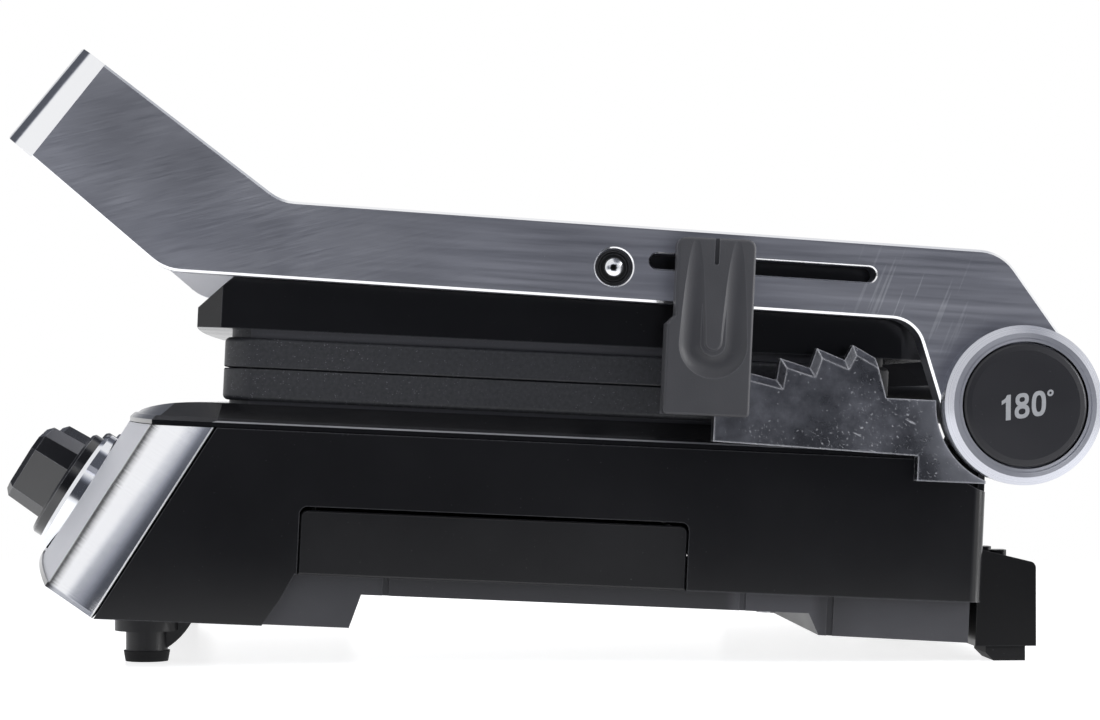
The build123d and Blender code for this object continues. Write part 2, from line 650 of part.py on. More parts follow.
# Height slider: a face outside the arm, a skirt under it and a ledge over the rack
SLIDER_BACK = ARM_OUT + GAP
SLIDER_FACE = SLIDER_BACK + SLIDER_T
with BuildPart() as height_slider:
    a, b = SLIDER_V - SLIDER_W / 2, SLIDER_V + SLIDER_W / 2
    with BuildSketch(side(SLIDER_BACK)) as face:
        Polygon(
            (a, SLIDER_TOP),
            (b, SLIDER_TOP),
            (b, SLIDER_LOW),
            (a - SLIDER_FRONT, SLIDER_LOW),
            (a - SLIDER_FRONT, SKIRT_TOP - SLIDER_FRONT),
            (a, SKIRT_TOP),
            align=None,
        )
        corners = near(face.vertices(), (a, SLIDER_TOP), (b, SLIDER_TOP))
        fillet(corners, SLIDER_R)
        fillet(near(face.vertices(), (b, SLIDER_LOW), (a - SLIDER_FRONT, SLIDER_LOW)), SLIDER_R / 2)
    extrude(amount=SLIDER_T)
    front = height_slider.faces().sort_by(Axis.X)[-1]
    fillet(front.edges(), SLIDER_EDGE)
    # finger groove: a round channel that runs down, round and up again
    lean = atan2(GROOVE_DEPTH, SLIDER_TOP - GROOVE_END)
    leaning = Plane(
        origin=world(SLIDER_FACE + GROOVE_R, SLIDER_V, SLIDER_TOP),
        x_dir=(0, CT, -ST),
        z_dir=(cos(lean), -sin(lean) * ST, -sin(lean) * CT),
    )
    with BuildPart(mode=Mode.PRIVATE) as channel:
        turn_w = GROOVE_END - SLIDER_TOP
        with BuildLine(leaning) as path:
            Line((-GROOVE_PATH, SLIDER_R), (-GROOVE_PATH, turn_w))
            ThreePointArc((-GROOVE_PATH, turn_w), (0, turn_w - GROOVE_PATH), (GROOVE_PATH, turn_w))
            Line((GROOVE_PATH, turn_w), (GROOVE_PATH, SLIDER_R))
        with BuildSketch(Plane(origin=path.wire() @ 0, z_dir=path.wire() % 0)):
            Circle(GROOVE_R)
        sweep()
    add(channel.part, mode=Mode.SUBTRACT)
    # raised tongue with a nail mark at its top
    with BuildSketch(side(SLIDER_FACE - 2 * GROOVE_DEPTH)):
        with Locations((SLIDER_V, (SLIDER_TOP + GROOVE_END) / 2)):
            Rectangle(TONGUE_W, SLIDER_TOP - GROOVE_END)
        with Locations((SLIDER_V, GROOVE_END)):
            Circle(TONGUE_W / 2)
    extrude(amount=2 * GROOVE_DEPTH - TONGUE_LOW)
    with BuildSketch(side(SLIDER_FACE - TONGUE_LOW - NAIL_DEEP)):
        with Locations((SLIDER_V, SLIDER_TOP - NAIL_LEN / 2)):
            Rectangle(NAIL_W, NAIL_LEN)
        with Locations((SLIDER_V, SLIDER_TOP - NAIL_LEN)):
            Circle(NAIL_W / 2)
    extrude(amount=NAIL_DEEP + 1, mode=Mode.SUBTRACT)
    with BuildSketch(side(SKIRT_IN)):
        Polygon(
            (a - SLIDER_FRONT, SLIDER_LOW),
            (b, SLIDER_LOW),
            (b, SKIRT_TOP - SLIDER_FRONT),
            (a - SLIDER_FRONT, SKIRT_TOP - SLIDER_FRONT),
            align=None,
        )
    extrude(amount=SLIDER_BACK - SKIRT_IN)
    with BuildSketch(side(LEDGE_IN)):
        Polygon((a, LEDGE_TOP), (b, LEDGE_TOP), (b, LEDGE_LOW - 1), (a, LEDGE_LOW + 2), align=None)
    extrude(amount=SKIRT_IN - LEDGE_IN)
    with BuildSketch(side(ARM_IN - GAP)):
        with Locations((SLIDER_V, STEM_W)):
            Rectangle(SLIDER_W / 2, SLOT_W - 2 * GAP, rotation=SLOT_TILT)
    extrude(amount=SLIDER_BACK - ARM_IN + GAP)
save(height_slider, "height_slider")

with BuildPart() as slider_clip:
    with BuildSketch(side(ARM_IN - GAP - CLIP_T)) as clip:
        with Locations((SLIDER_V, STEM_W)):
            Rectangle(SLIDER_W - 4, CLIP_H, rotation=SLOT_TILT)
        fillet(clip.vertices(), CLIP_R)
    extrude(amount=CLIP_T)
    with BuildSketch(side(ARM_IN - GAP - CLIP_T)):
        with Locations((SLIDER_V - 4, STEM_W), (SLIDER_V + 4, STEM_W)):
            Circle(1.6)
    extrude(amount=0.9, mode=Mode.SUBTRACT)
save(slider_clip, "slider_clip")

# Height rack with three rising teeth, bevelled along their crest
lead = (TOOTH_FOOT[0][1] - FIRST_LAND[1]) / (TOOTH_FOOT[0][0] - FIRST_LAND[0])
fall = unit(TOOTH_TIP[-1], LAST_LAND)
teeth = []
for foot, tip in zip(TOOTH_FOOT, TOOTH_TIP):
    teeth += [foot, tip]


def crest_w(v):
    """Height of the first land at v from the hinge."""
    return FIRST_LAND[1] + lead * (v - FIRST_LAND[0])


with BuildPart() as bevelled:
    past = RACK_FRONT + RACK_FOOT
    rear = (LAST_LAND[0] + 20 * fall[0], LAST_LAND[1] + 20 * fall[1])
    region = [(past, 2 * RACK_TAB), (past, crest_w(past)), *teeth, rear, (HUB_R, rear[1]), (HUB_R, 2 * RACK_TAB)]
    with BuildSketch(side(RACK_IN)):
        Polygon(*from_hub(region), align=None)
    extrude(amount=RACK_T - BEVEL_T)
    with BuildSketch(side(RACK_IN + RACK_T - BEVEL_T)):
        Polygon(*from_hub(region), align=None)
    extrude(amount=BEVEL_T, taper=BEVEL_SLANT)

TAB = [(0, RACK_BACK[1]), (0, RACK_TAB), (TAB_FRONT, RACK_TAB), (TAB_FRONT, RACK_FOOT - 2)]


def clear_hub():
    """Cuts a sketch free of the sweep of an arm's boss and ends it behind the rack."""
    with Locations(HUB):
        Circle(HUB_SWEEP, mode=Mode.SUBTRACT)
    with Locations((HUB_V + RACK_REAR + HUB_R, HUB_W)):
        Rectangle(2 * HUB_R, 4 * HUB_R, mode=Mode.SUBTRACT)


with BuildPart() as height_rack:
    with BuildSketch(side(RACK_IN)):
        outline = [(RACK_FRONT, RACK_FOOT), (RACK_FRONT, crest_w(RACK_FRONT)), *teeth, LAST_LAND, RACK_BACK, *TAB]
        Polygon(*from_hub(outline), align=None)
        clear_hub()
    extrude(amount=RACK_T)
    add(bevelled.part, mode=Mode.INTERSECT)
save(height_rack, "height_rack")

with BuildPart() as left_bracket:
    with BuildSketch(side(-RACK_IN - RACK_T)):
        outline = [(RACK_BACK[0] - 18, RACK_FOOT), (RACK_BACK[0] - 12, RACK_BACK[1]), *TAB]
        Polygon(*from_hub(outline), align=None)
        clear_hub()
    extrude(amount=RACK_T)
save(left_bracket, "left_bracket")


def hinge_post(x):
    """A post of the base that carries the hinge shaft."""
    wall = BASE_REAR - BASE_WALL - SEAM
    with BuildPart() as post:
        with BuildSketch(side(x)) as web:
            Polygon(
                (wall - 15, BASE_LOW + 6),
                (wall, BASE_LOW + 6),
                (wall, HUB_W - POST_R + 0.2),
                (HUB_V, HUB_W - POST_R),
                HUB,
                (HUB_V - POST_R, HUB_W - 6),
                (wall - 15, HUB_W - POST_R - 8),
                align=None,
            )
            with Locations(HUB):
                Circle(POST_R)
                Circle(SHAFT_R + FIT + BUSH_T, mode=Mode.SUBTRACT)
        extrude(amount=POST_T)
    return post


hinge_post_right = hinge_post(POST_IN)
save(hinge_post_right, "hinge_post_right")
hinge_post_left = hinge_post(-POST_IN - POST_T)
save(hinge_post_left, "hinge_post_left")

with BuildPart() as hinge_bushes:
    for x in (POST_IN, -POST_IN - POST_T):
        with BuildSketch(side(x)):
            with Locations(HUB):
                Circle(SHAFT_R + FIT + BUSH_T)
                Circle(SHAFT_R + FIT, mode=Mode.SUBTRACT)
        extrude(amount=POST_T)
        with BuildSketch(side(x - 1.5 if x > 0 else x + POST_T)):
            with Locations(HUB):
                Circle(SHAFT_R + FIT + BUSH_T + 2.5)
                Circle(SHAFT_R + FIT, mode=Mode.SUBTRACT)
        extrude(amount=1.5)
save(hinge_bushes, "hinge_bushes")


def plate_blank(low, high):
    """Rounded slab of a grill plate."""
    with BuildPart() as blank:
        with BuildSketch(deck(low)) as slab:
            with Locations((0, (PLATE_FRONT + PLATE_REAR) / 2)):
                RectangleRounded(2 * PLATE_HALF, PLATE_REAR - PLATE_FRONT, PLATE_R)
        extrude(amount=high - low)
    return blank


def ridge_rows():
    """The middles of the ridges across the plate."""
    count = int((PLATE_HALF - RIDGE_SIDE) // RIDGE_PITCH)
    return [i * RIDGE_PITCH for i in range(-count, count + 1)]


def ridges(floor, up):
    """Ridges on a cooking floor; up is 1 on the lower plate and -1 on the upper."""
    with BuildPart() as rows:
        with BuildSketch(across(PLATE_REAR - RIDGE_END)):
            for x in ridge_rows():
                Polygon(
                    (x - RIDGE_FOOT / 2, floor - up),
                    (x + RIDGE_FOOT / 2, floor - up),
                    (x + RIDGE_FOOT / 2, floor),
                    (x + RIDGE_TOP / 2, floor + up * RIDGE_H),
                    (x - RIDGE_TOP / 2, floor + up * RIDGE_H),
                    (x - RIDGE_FOOT / 2, floor),
                    align=None,
                )
        extrude(amount=PLATE_REAR - PLATE_FRONT - 2 * RIDGE_END)
    return rows.part


def plate(low, high, up, ledge):
    """A grill plate with rim, cooking floor, ridges and a rim at the back that seats on a ledge."""
    floor = high - TROUGH if up > 0 else low + TROUGH
    slab = plate_blank(low, high)
    with BuildPart() as grill:
        add(slab.part)
        for end, radius in ((-1, PLATE_EDGE), (0, PLATE_BACK)):
            face = grill.faces().sort_by(Axis((0, 0, 0), [up * d for d in deck(0).z_dir]))[end]
            fillet(face.edges(), radius)
        with BuildSketch(deck(floor)):
            with Locations((0, (PLATE_FRONT + PLATE_REAR) / 2)):
                length = PLATE_REAR - PLATE_FRONT - 2 * RIM
                RectangleRounded(2 * (PLATE_HALF - RIM), length, PLATE_R - RIM)
        extrude(amount=up * (TROUGH + 1), taper=-12, mode=Mode.SUBTRACT)
        add(ridges(floor, up))
        with BuildSketch(deck(low if up > 0 else high)):
            with Locations((0, (PLATE_FRONT + PLATE_REAR) / 2)):
                for inset, mode in ((SEAT_IN, Mode.ADD), (FLANGE - SEAT_LAP, Mode.SUBTRACT)):
                    length = PLATE_REAR - PLATE_FRONT - 2 * inset
                    RectangleRounded(2 * (PLATE_HALF - inset), length, PLATE_R - inset, mode=mode)
        extrude(amount=(ledge - low) if up > 0 else (ledge - high))
    return grill


LOWER_TOP = -PLATE_GAP
LOWER_LOW = LOWER_TOP - LOWER_PLATE_T
UPPER_LOW = PLATE_GAP
UPPER_TOP = UPPER_LOW + UPPER_PLATE_T

SPOUT_LOW = LOWER_LOW - SPOUT_LEN
lower_base = plate(LOWER_LOW, LOWER_TOP, 1, DOME_W)
with BuildPart() as lower_grill_plate:
    add(lower_base.part)
    with BuildSketch(deck(SPOUT_LOW)):
        with Locations((PLATE_HALF - DRAIN_IN, PLATE_FRONT + DRAIN_BACK)):
            Circle(SPOUT_R)
    extrude(amount=LOWER_LOW - SPOUT_LOW + 1)
    with BuildSketch(deck(SPOUT_LOW - 1)):
        with Locations((PLATE_HALF - DRAIN_IN, PLATE_FRONT + DRAIN_BACK)):
            Circle(DRAIN_R)
    extrude(amount=LOWER_TOP - SPOUT_LOW + 2, mode=Mode.SUBTRACT)
save(lower_grill_plate, "lower_grill_plate")

upper_grill_plate = plate(UPPER_LOW, UPPER_TOP, -1, HEAD_LOW)
save(upper_grill_plate, "upper_grill_plate")


def heater(w):
    """A tube heater bent in a U below or above a plate."""
    half = PLATE_HALF - TUBE_SIDE
    with BuildPart() as tube:
        with BuildLine(deck(w)) as path:
            FilletPolyline(
                (-half, PLATE_REAR - TUBE_SIDE),
                (-half, PLATE_FRONT + TUBE_SIDE),
                (half, PLATE_FRONT + TUBE_SIDE),
                (half, PLATE_REAR - TUBE_SIDE),
                radius=TUBE_BEND,
            )
        with BuildSketch(Plane(origin=path.line @ 0, z_dir=path.line % 0)):
            Circle(TUBE_R)
        sweep()
    return tube


lower_heater = heater(LOWER_LOW - TUBE_GAP - TUBE_R)
save(lower_heater, "lower_heater")
upper_heater = heater(UPPER_TOP + TUBE_GAP + TUBE_R)
save(upper_heater, "upper_heater")


def reflector(w, up):
    """A pressed sheet behind a heater with a lip round its edge."""
    wide = 2 * (PLATE_HALF - SHEET_SIDE)
    deep = PLATE_REAR - PLATE_FRONT - 2 * SHEET_END
    with BuildPart() as sheet:
        with BuildSketch(deck(w)):
            with Locations((0, (PLATE_FRONT + PLATE_REAR) / 2)):
                RectangleRounded(wide, deep, PLATE_R)
        extrude(amount=up * SHEET_T)
        with BuildSketch(deck(w)):
            with Locations((0, (PLATE_FRONT + PLATE_REAR) / 2)):
                RectangleRounded(wide, deep, PLATE_R)
                RectangleRounded(wide - 2 * SHEET_T, deep - 2 * SHEET_T, PLATE_R - SHEET_T, mode=Mode.SUBTRACT)
        extrude(amount=-up * SHEET_LIP)
    return sheet


lower_reflector = reflector(LOWER_LOW - 2 * (TUBE_GAP + TUBE_R) - SHEET_T, -1)
save(lower_reflector, "lower_reflector")
upper_reflector = reflector(UPPER_TOP + 2 * (TUBE_GAP + TUBE_R) + SHEET_T, 1)
save(upper_reflector, "upper_reflector")


def head_plan(inset):
    """Plan of the head: a bowed front with cut corners and rounded corners at the rear."""
    half = HEAD_HALF - inset
    front = HEAD_FRONT + inset
    rear = HEAD_REAR - inset
    with BuildSketch() as plan:
        with BuildLine():
            ThreePointArc((-half, front), (0, front - HEAD_BOW), (half, front))
            Polyline((half, front), (half, rear), (-half, rear), (-half, front))
        make_face()
        cut = HEAD_CUT - inset * (2 - 2**0.5)
        chamfer(near(plan.vertices(), (half, front), (-half, front)), cut)
        fillet(near(plan.vertices(), (half, rear), (-half, rear)), HEAD_R - inset)
    return plan.sketch


def head_block(inset):
    """The head inside a given inset: its side profile kept within its plan."""
    slant = HEAD_TOP - HEAD_LIP
    front = HEAD_FRONT - HEAD_BOW + inset
    with BuildPart() as block:
        with BuildSketch(side(-HEAD_HALF + inset)):
            Polygon(
                (front, HEAD_LOW - inset),
                (HEAD_REAR - inset, HEAD_LOW - inset),
                (HEAD_REAR - inset, HEAD_TOP - inset),
                (front + slant + HEAD_BOW, HEAD_TOP - inset),
                (front, HEAD_LIP - inset * 0.4),
                align=None,
            )
        extrude(amount=2 * (HEAD_HALF - inset))
        with BuildSketch(deck(HEAD_LOW - 2 * inset - 1)):
            add(head_plan(inset))
        extrude(amount=HEAD_TOP - HEAD_LOW + 20, mode=Mode.INTERSECT)
    return block.part


head_outer = head_block(0)
head_inner = head_block(HEAD_WALL)
with BuildPart() as head_shell:
    add(head_outer)
    add(head_inner, mode=Mode.SUBTRACT)
    # ledge for the plate
    with BuildSketch(deck(HEAD_LOW)):
        add(head_plan(HEAD_WALL / 2))
        with Locations((0, (PLATE_FRONT + PLATE_REAR) / 2)):
            length = PLATE_REAR - PLATE_FRONT - 2 * FLANGE
            RectangleRounded(2 * (PLATE_HALF - FLANGE), length, PLATE_R - 4, mode=Mode.SUBTRACT)
    extrude(amount=2)
    # bosses that turn on the pivot bolts
    for x, grow in ((HEAD_HALF + BOSS_PROUD, -1), (-HEAD_HALF - BOSS_PROUD, 1)):
        with BuildSketch(side(x)):
            with Locations((PIVOT_V, PIVOT_W)):
                Circle(BOSS_R)
        extrude(amount=grow * (BOSS_PROUD + PIVOT_HOLD + 1))
    with BuildSketch(side(-ARM_IN)):
        with Locations((PIVOT_V, PIVOT_W)):
            Circle(PIVOT_R)
    extrude(amount=2 * ARM_IN, mode=Mode.SUBTRACT)
    # opening for the cover in the top
    with BuildSketch(deck(HEAD_TOP - HEAD_WALL - 1)):
        with Locations((0, (HEAD_FRONT + HEAD_REAR) / 2 + 20)):
            Rectangle(2 * (HEAD_HALF - 2.4 * COVER_IN), HEAD_REAR - HEAD_FRONT - 9 * COVER_IN)
    extrude(amount=HEAD_WALL + 20, mode=Mode.SUBTRACT)
save(head_shell, "head_shell")


def cover_block(inset):
    front = HEAD_FRONT + HEAD_TOP - HEAD_LIP + 6 + inset
    rear = HEAD_REAR - 4 - inset
    with BuildPart() as block:
        with BuildSketch(deck(HEAD_TOP - (1 if inset else 0))):
            with Locations((0, (front + rear) / 2)):
                RectangleRounded(2 * (HEAD_HALF - COVER_IN - inset), rear - front, 12 - inset)
        extrude(amount=COVER_RISE - inset + (1 if inset else 0), taper=38)
    return block.part


cover_outer = cover_block(0)
cover_inner = cover_block(COVER_T)
with BuildPart() as head_cover:
    add(cover_outer)
    add(cover_inner, mode=Mode.SUBTRACT)
save(head_cover, "head_cover")


BOW_N = CREASE_N + BOW_RISE


def bow_region(n_extra, half, s0, s1):
    """Everything behind the bowed front surface, raised by n_extra, from s0 to s1 down the slope."""
    with BuildPart() as region:
        with BuildSketch(section(s0)):
            edge = bow_n(half, CREASE_N, BOW_N, BASE_HALF - CREASE_IN) + n_extra
            with BuildLine():
                ThreePointArc((-half, edge), (0, BOW_N + n_extra), (half, edge))
                Polyline((half, edge), (half, 0.5), (-half, 0.5), (-half, edge))
            make_face()
        extrude(amount=s1 - s0)
    return region.part


CREASE_X = BASE_HALF - CREASE_IN
FASCIA_X = CREASE_X - TRIM_T - 0.2
front_back = bow_region(0, FASCIA_X, -30, SLOPE_LEN - LIP_T)
front_core = bow_region(-FASCIA_T, FASCIA_X + 5, -31, SLOPE_LEN + 1)
lip_block = bow_region(LIP_PROUD, CREASE_X, SLOPE_LEN - LIP_T, SLOPE_LEN)

with BuildPart() as control_fascia:
    add(front_back)
    add(front_core, mode=Mode.SUBTRACT)
    with BuildSketch(deck(SEAM_W - SEAM)):
        Rectangle(3 * BASE_HALF, 3 * BASE_HALF)
    extrude(amount=60, mode=Mode.SUBTRACT)
    with BuildSketch(panel(0)):
        with Locations((-KNOB_X, -KNOB_S), (KNOB_X, -KNOB_S)):
            Circle(KNOB_SHAFT_R + GAP)
    extrude(amount=60, mode=Mode.SUBTRACT)
save(control_fascia, "control_fascia")

# Corner trim: a bellied band at each side, joined by the lip under the fascia
with BuildPart() as front_trim:
    for m in (-1, 1):
        with BuildSketch(section(-30)):
            edge = bow_n(FASCIA_X, CREASE_N, BOW_N, CREASE_X)
            with BuildLine():
                ThreePointArc(
                    (m * BASE_HALF, 0.5),
                    (m * (BASE_HALF - CREASE_IN / 2 + TRIM_BELLY), CREASE_N / 2),
                    (m * CREASE_X, CREASE_N),
                )
                Polyline(
                    (m * CREASE_X, CREASE_N),
                    (m * (FASCIA_X + 0.15), edge),
                    (m * (FASCIA_X + 0.15), edge - FASCIA_T),
                    (m * (BASE_HALF - TRIM_T), 0.5),
                    (m * BASE_HALF, 0.5),
                )
            make_face()
        extrude(amount=SLOPE_LEN + 30 - LIP_T)
    add(lip_block)
    with BuildSketch(section(SLOPE_LEN - LIP_T)):
        Polygon(
            (-BASE_HALF, 0.5), (BASE_HALF, 0.5), (CREASE_X, CREASE_N), (-CREASE_X, CREASE_N), align=None
        )
    extrude(amount=LIP_T)
    with BuildSketch(deck(SEAM_W - SEAM)):
        Rectangle(3 * BASE_HALF, 3 * BASE_HALF)
    extrude(amount=60, mode=Mode.SUBTRACT)
save(front_trim, "front_trim")


def knob_frame(x):
    """Axis plane of a knob: sketches read (radius, height out from the side edge)."""
    p = slope_point(0, KNOB_S)
    return Plane(origin=(x, p[1], p[2]), x_dir=(1, 0, 0), z_dir=(0, sin(LEAN), cos(LEAN)))


def knob_axis(x):
    p = slope_point(0, KNOB_S)
    return Axis((x, p[1], p[2]), OUT)


bezel_seat = bow_region(0.02, FASCIA_X, -30, SLOPE_LEN)


def bezel(x):
    flip = Plane(origin=knob_frame(x).origin, x_dir=(1, 0, 0), z_dir=(0, -sin(LEAN), -cos(LEAN)))
    with BuildPart() as ring:
        with BuildSketch(flip):
            with BuildLine():
                Polyline(
                    (SKIRT_R + GAP, BEZEL_TOP - 8),
                    (BEZEL_R, BEZEL_TOP - 8),
                    (BEZEL_R, BEZEL_TOP - 1.6),
                    (BEZEL_R - BEZEL_LIP, BEZEL_TOP),
                    (SKIRT_R + GAP + 0.5, BEZEL_TOP),
                    (SKIRT_R + GAP, BEZEL_TOP - 0.5),
                    close=True,
                )
            make_face()
        revolve(axis=knob_axis(x), revolution_arc=360)
        add(bezel_seat, mode=Mode.SUBTRACT)
    return ring


knob_bezel_right = bezel(KNOB_X)
save(knob_bezel_right, "knob_bezel_right")
knob_bezel_left = bezel(-KNOB_X)
save(knob_bezel_left, "knob_bezel_left")


def knob(x):
    """A knob with a round skirt, a faceted grip and a pointer groove."""

    def level(n):
        p = slope_point(n, KNOB_S)
        return Plane(origin=(x, p[1], p[2]), x_dir=(1, 0, 0), z_dir=OUT)

    with BuildPart() as piece:
        with BuildSketch(level(KNOB_FOOT)):
            Circle(SKIRT_R)
        extrude(amount=SKIRT_H)
        skirt_top = piece.faces().sort_by(Axis((0, 0, 0), OUT))[-1]
        chamfer(skirt_top.edges(), 1.0)
        with BuildSketch(level(KNOB_FOOT + SKIRT_H)):
            chamfer(Rectangle(GRIP_KNOB, GRIP_KNOB, rotation=KNOB_TURN).vertices(), GRIP_CUT)
        extrude(amount=KNOB_TOP - KNOB_FOOT - SKIRT_H, taper=KNOB_TAPER)
        cap = piece.faces().sort_by(Axis((0, 0, 0), OUT))[-1]
        chamfer(cap.edges(), KNOB_EDGE)
        with BuildSketch(level(KNOB_TOP - 0.8)):
            off = GRIP_KNOB * 0.3
            turn = radians(KNOB_TURN)
            with Locations((-off * sin(turn), off * cos(turn))):
                Rectangle(MARK_W, off, rotation=KNOB_TURN)
        extrude(amount=3, mode=Mode.SUBTRACT)
        with BuildSketch(level(KNOB_FOOT - KNOB_SHAFT_LEN)):
            Circle(KNOB_SHAFT_R)
        extrude(amount=KNOB_SHAFT_LEN + SKIRT_H)
    return piece


temperature_knob = knob(-KNOB_X)
save(temperature_knob, "temperature_knob")
timer_knob = knob(KNOB_X)
save(timer_knob, "timer_knob")


def control_unit(x, wide, tall, bush):
    """A switch unit between the front wall and the fascia, with a bore for the knob's shaft."""

    def level(n):
        p = slope_point(n, KNOB_S)
        return Plane(origin=(x, p[1], p[2]), x_dir=(1, 0, 0), z_dir=OUT)

    with BuildPart() as unit_part:
        with BuildSketch(level(0)) as foot:
            RectangleRounded(wide, tall, 3)
        extrude(amount=UNIT_H)
        with BuildSketch(level(UNIT_H)):
            Circle(bush)
        extrude(amount=BUSH_H)
        with BuildSketch(level(0)):
            Rectangle(wide + 3 * bush, 2 * bush)
        extrude(amount=1.2)
        with BuildSketch(level(UNIT_H - BUSH_H)):
            Circle(KNOB_SHAFT_R + GAP)
        extrude(amount=2.5 * BUSH_H, mode=Mode.SUBTRACT)
    return unit_part


thermostat_unit = control_unit(-KNOB_X, *THERMOSTAT)
save(thermostat_unit, "thermostat_unit")
timer_unit = control_unit(KNOB_X, *TIMER)
save(timer_unit, "timer_unit")

# Deck frame round the lower plate
CREASE_V = SLOPE_V - CREASE_N / cos(radians(RAKE))
BOW_V = SLOPE_V - BOW_N / cos(radians(RAKE))
DOME_REAR = BASE_REAR - 18


def deck_plan(inset, rear, corner):
    """Plan of the deck with its bowed front."""
    with BuildSketch() as plan:
        crease = (CREASE_X - inset, CREASE_V + inset)
        side_edge = (BASE_HALF - inset, SLOPE_V)
        back = (BASE_HALF - inset, rear)
        with BuildLine():
            ThreePointArc((-crease[0], crease[1]), (0, BOW_V + inset), crease)
            Polyline(crease, side_edge, back, (-back[0], back[1]), (-side_edge[0], side_edge[1]), (-crease[0], crease[1]))
        make_face()
        fillet(near(plan.vertices(), back, (-back[0], back[1])), corner)
    return plan.sketch


# The raised middle of the deck falls off to the front in an arc
with BuildPart() as dome:
    with BuildSketch(deck(RIM_W - 0.5)):
        add(deck_plan(DOME_STEP, DOME_REAR, PLATE_R))
    extrude(amount=DOME_W - RIM_W + 0.5, taper=50)
    with BuildSketch(side(-BASE_HALF)):
        crown = PLATE_FRONT - 4
        run = crown - BOW_V
        drop = DOME_W - RIM_W + 0.6
        r = (run * run + drop * drop) / (2 * drop)
        half = asin(run / r) / 2
        with BuildLine():
            ThreePointArc(
                (BOW_V, DOME_W - drop), (crown - r * sin(half), DOME_W - r * (1 - cos(half))), (crown, DOME_W)
            )
            Polyline(
                (crown, DOME_W), (BASE_REAR, DOME_W), (BASE_REAR, SEAM_W), (BOW_V, SEAM_W), (BOW_V, DOME_W - drop)
            )
        make_face()
    extrude(amount=2 * BASE_HALF, mode=Mode.INTERSECT)

with BuildPart() as deck_frame:
    with BuildSketch(deck(SEAM_W)):
        add(deck_plan(0, BASE_REAR, BASE_R))
    extrude(amount=RIM_W - SEAM_W)
    top = deck_frame.faces().sort_by(Axis((0, 0, 0), deck(0).z_dir))[-1]
    chamfer(top.edges(), RIM_H / 2)
    add(dome.part)
    with BuildSketch(deck(SEAM_W - 1)):
        with Locations((0, (PLATE_FRONT + PLATE_REAR) / 2)):
            length = PLATE_REAR - PLATE_FRONT - 2 * FLANGE
            RectangleRounded(2 * (PLATE_HALF - FLANGE), length, PLATE_R - 4)
    extrude(amount=DOME_W - SEAM_W + 3, mode=Mode.SUBTRACT)
    for x in (POST_IN - 0.5, -POST_IN - POST_T - 0.5):
        with BuildSketch(side(x)):
            with Locations(((BASE_REAR + HUB_V - POST_R) / 2 - 5, (SEAM_W + DOME_W) / 2)):
                Rectangle(BASE_REAR - HUB_V + POST_R + 12, DOME_W - SEAM_W + 4)
        extrude(amount=POST_T + 1, mode=Mode.SUBTRACT)
    for x in (ARM_IN - 2, -ARM_OUT):
        with BuildSketch(side(x)):
            with Locations(HUB):
                Circle(BASE_SWEEP)
        extrude(amount=ARM_T + 2, mode=Mode.SUBTRACT)
    # the middle of the rear edge is let down for the shaft
    with BuildSketch(side(-ARM_OUT)):
        with Locations(HUB):
            Circle(SHAFT_R + 4)
    extrude(amount=2 * ARM_OUT, mode=Mode.SUBTRACT)
save(deck_frame, "deck_frame")

# Base shell: four walls under the deck frame, notched for the drip tray
SLOPE_FOOT = (SLOPE_V - SLOPE_LEN * sin(radians(RAKE)), SEAM_W - SLOPE_LEN * cos(radians(RAKE)))


def shell_outline(inset):
    """Side view of the shell's walls with a given inset; the bottom stays open."""
    back = inset / cos(radians(RAKE))
    low = -2 * inset
    return [
        (SLOPE_V + back, SEAM_W - SEAM + inset),
        (BASE_REAR - inset, SEAM_W - SEAM + inset),
        (BASE_REAR - inset, BASE_LOW + low),
        (TOE_HEEL[2] - inset, BASE_LOW + low),
        (TOE_HEEL[1] - inset, BASE_LOW - HEEL_STEP + low),
        (TOE_HEEL[0] - inset, SLOPE_FOOT[1] + low),
        (SLOPE_FOOT[0] + back + low * tan(radians(RAKE)), SLOPE_FOOT[1] + low),
    ]


with BuildPart() as shell_core:
    with BuildSketch(side(-BASE_HALF + BASE_WALL)):
        Polygon(*shell_outline(BASE_WALL), align=None)
    extrude(amount=2 * (BASE_HALF - BASE_WALL))

with BuildPart() as base_shell:
    with BuildSketch(side(-BASE_HALF)):
        Polygon(*shell_outline(0), align=None)
    extrude(amount=2 * BASE_HALF)
    rear_edges = [
        e
        for e in base_shell.edges()
        if abs(abs(e.center().X) - BASE_HALF) < 0.01 and abs(e.center().Y - world(0, BASE_REAR, -48)[1]) < 3
        and e.length > 40
    ]
    fillet(rear_edges, BASE_R)
    add(shell_core.part, mode=Mode.SUBTRACT)
    with BuildSketch(side(BASE_HALF - 2 * BASE_WALL)) as notch:
        Polygon(
            (NOTCH_FRONT, NOTCH_TOP),
            (NOTCH_REAR, NOTCH_TOP),
            (NOTCH_REAR, SLOPE_FOOT[1]),
            (NOTCH_FRONT, SLOPE_FOOT[1]),
            align=None,
        )
        fillet(near(notch.vertices(), (NOTCH_FRONT, NOTCH_TOP), (NOTCH_REAR, NOTCH_TOP)), NOTCH_R)
    extrude(amount=3 * BASE_WALL, mode=Mode.SUBTRACT)
    for x in (ARM_IN - 2, -ARM_OUT):
        with BuildSketch(side(x)):
            with Locations(HUB):
                Circle(BASE_SWEEP)
        extrude(amount=ARM_T + 2, mode=Mode.SUBTRACT)
    # hole for the cord gland in the rear wall
    with BuildSketch(across(BASE_REAR + 1)):
        with Locations(GLAND):
            Circle(GLAND_NECK + 0.2)
    extrude(amount=4 * BASE_WALL, mode=Mode.SUBTRACT)
save(base_shell, "base_shell")

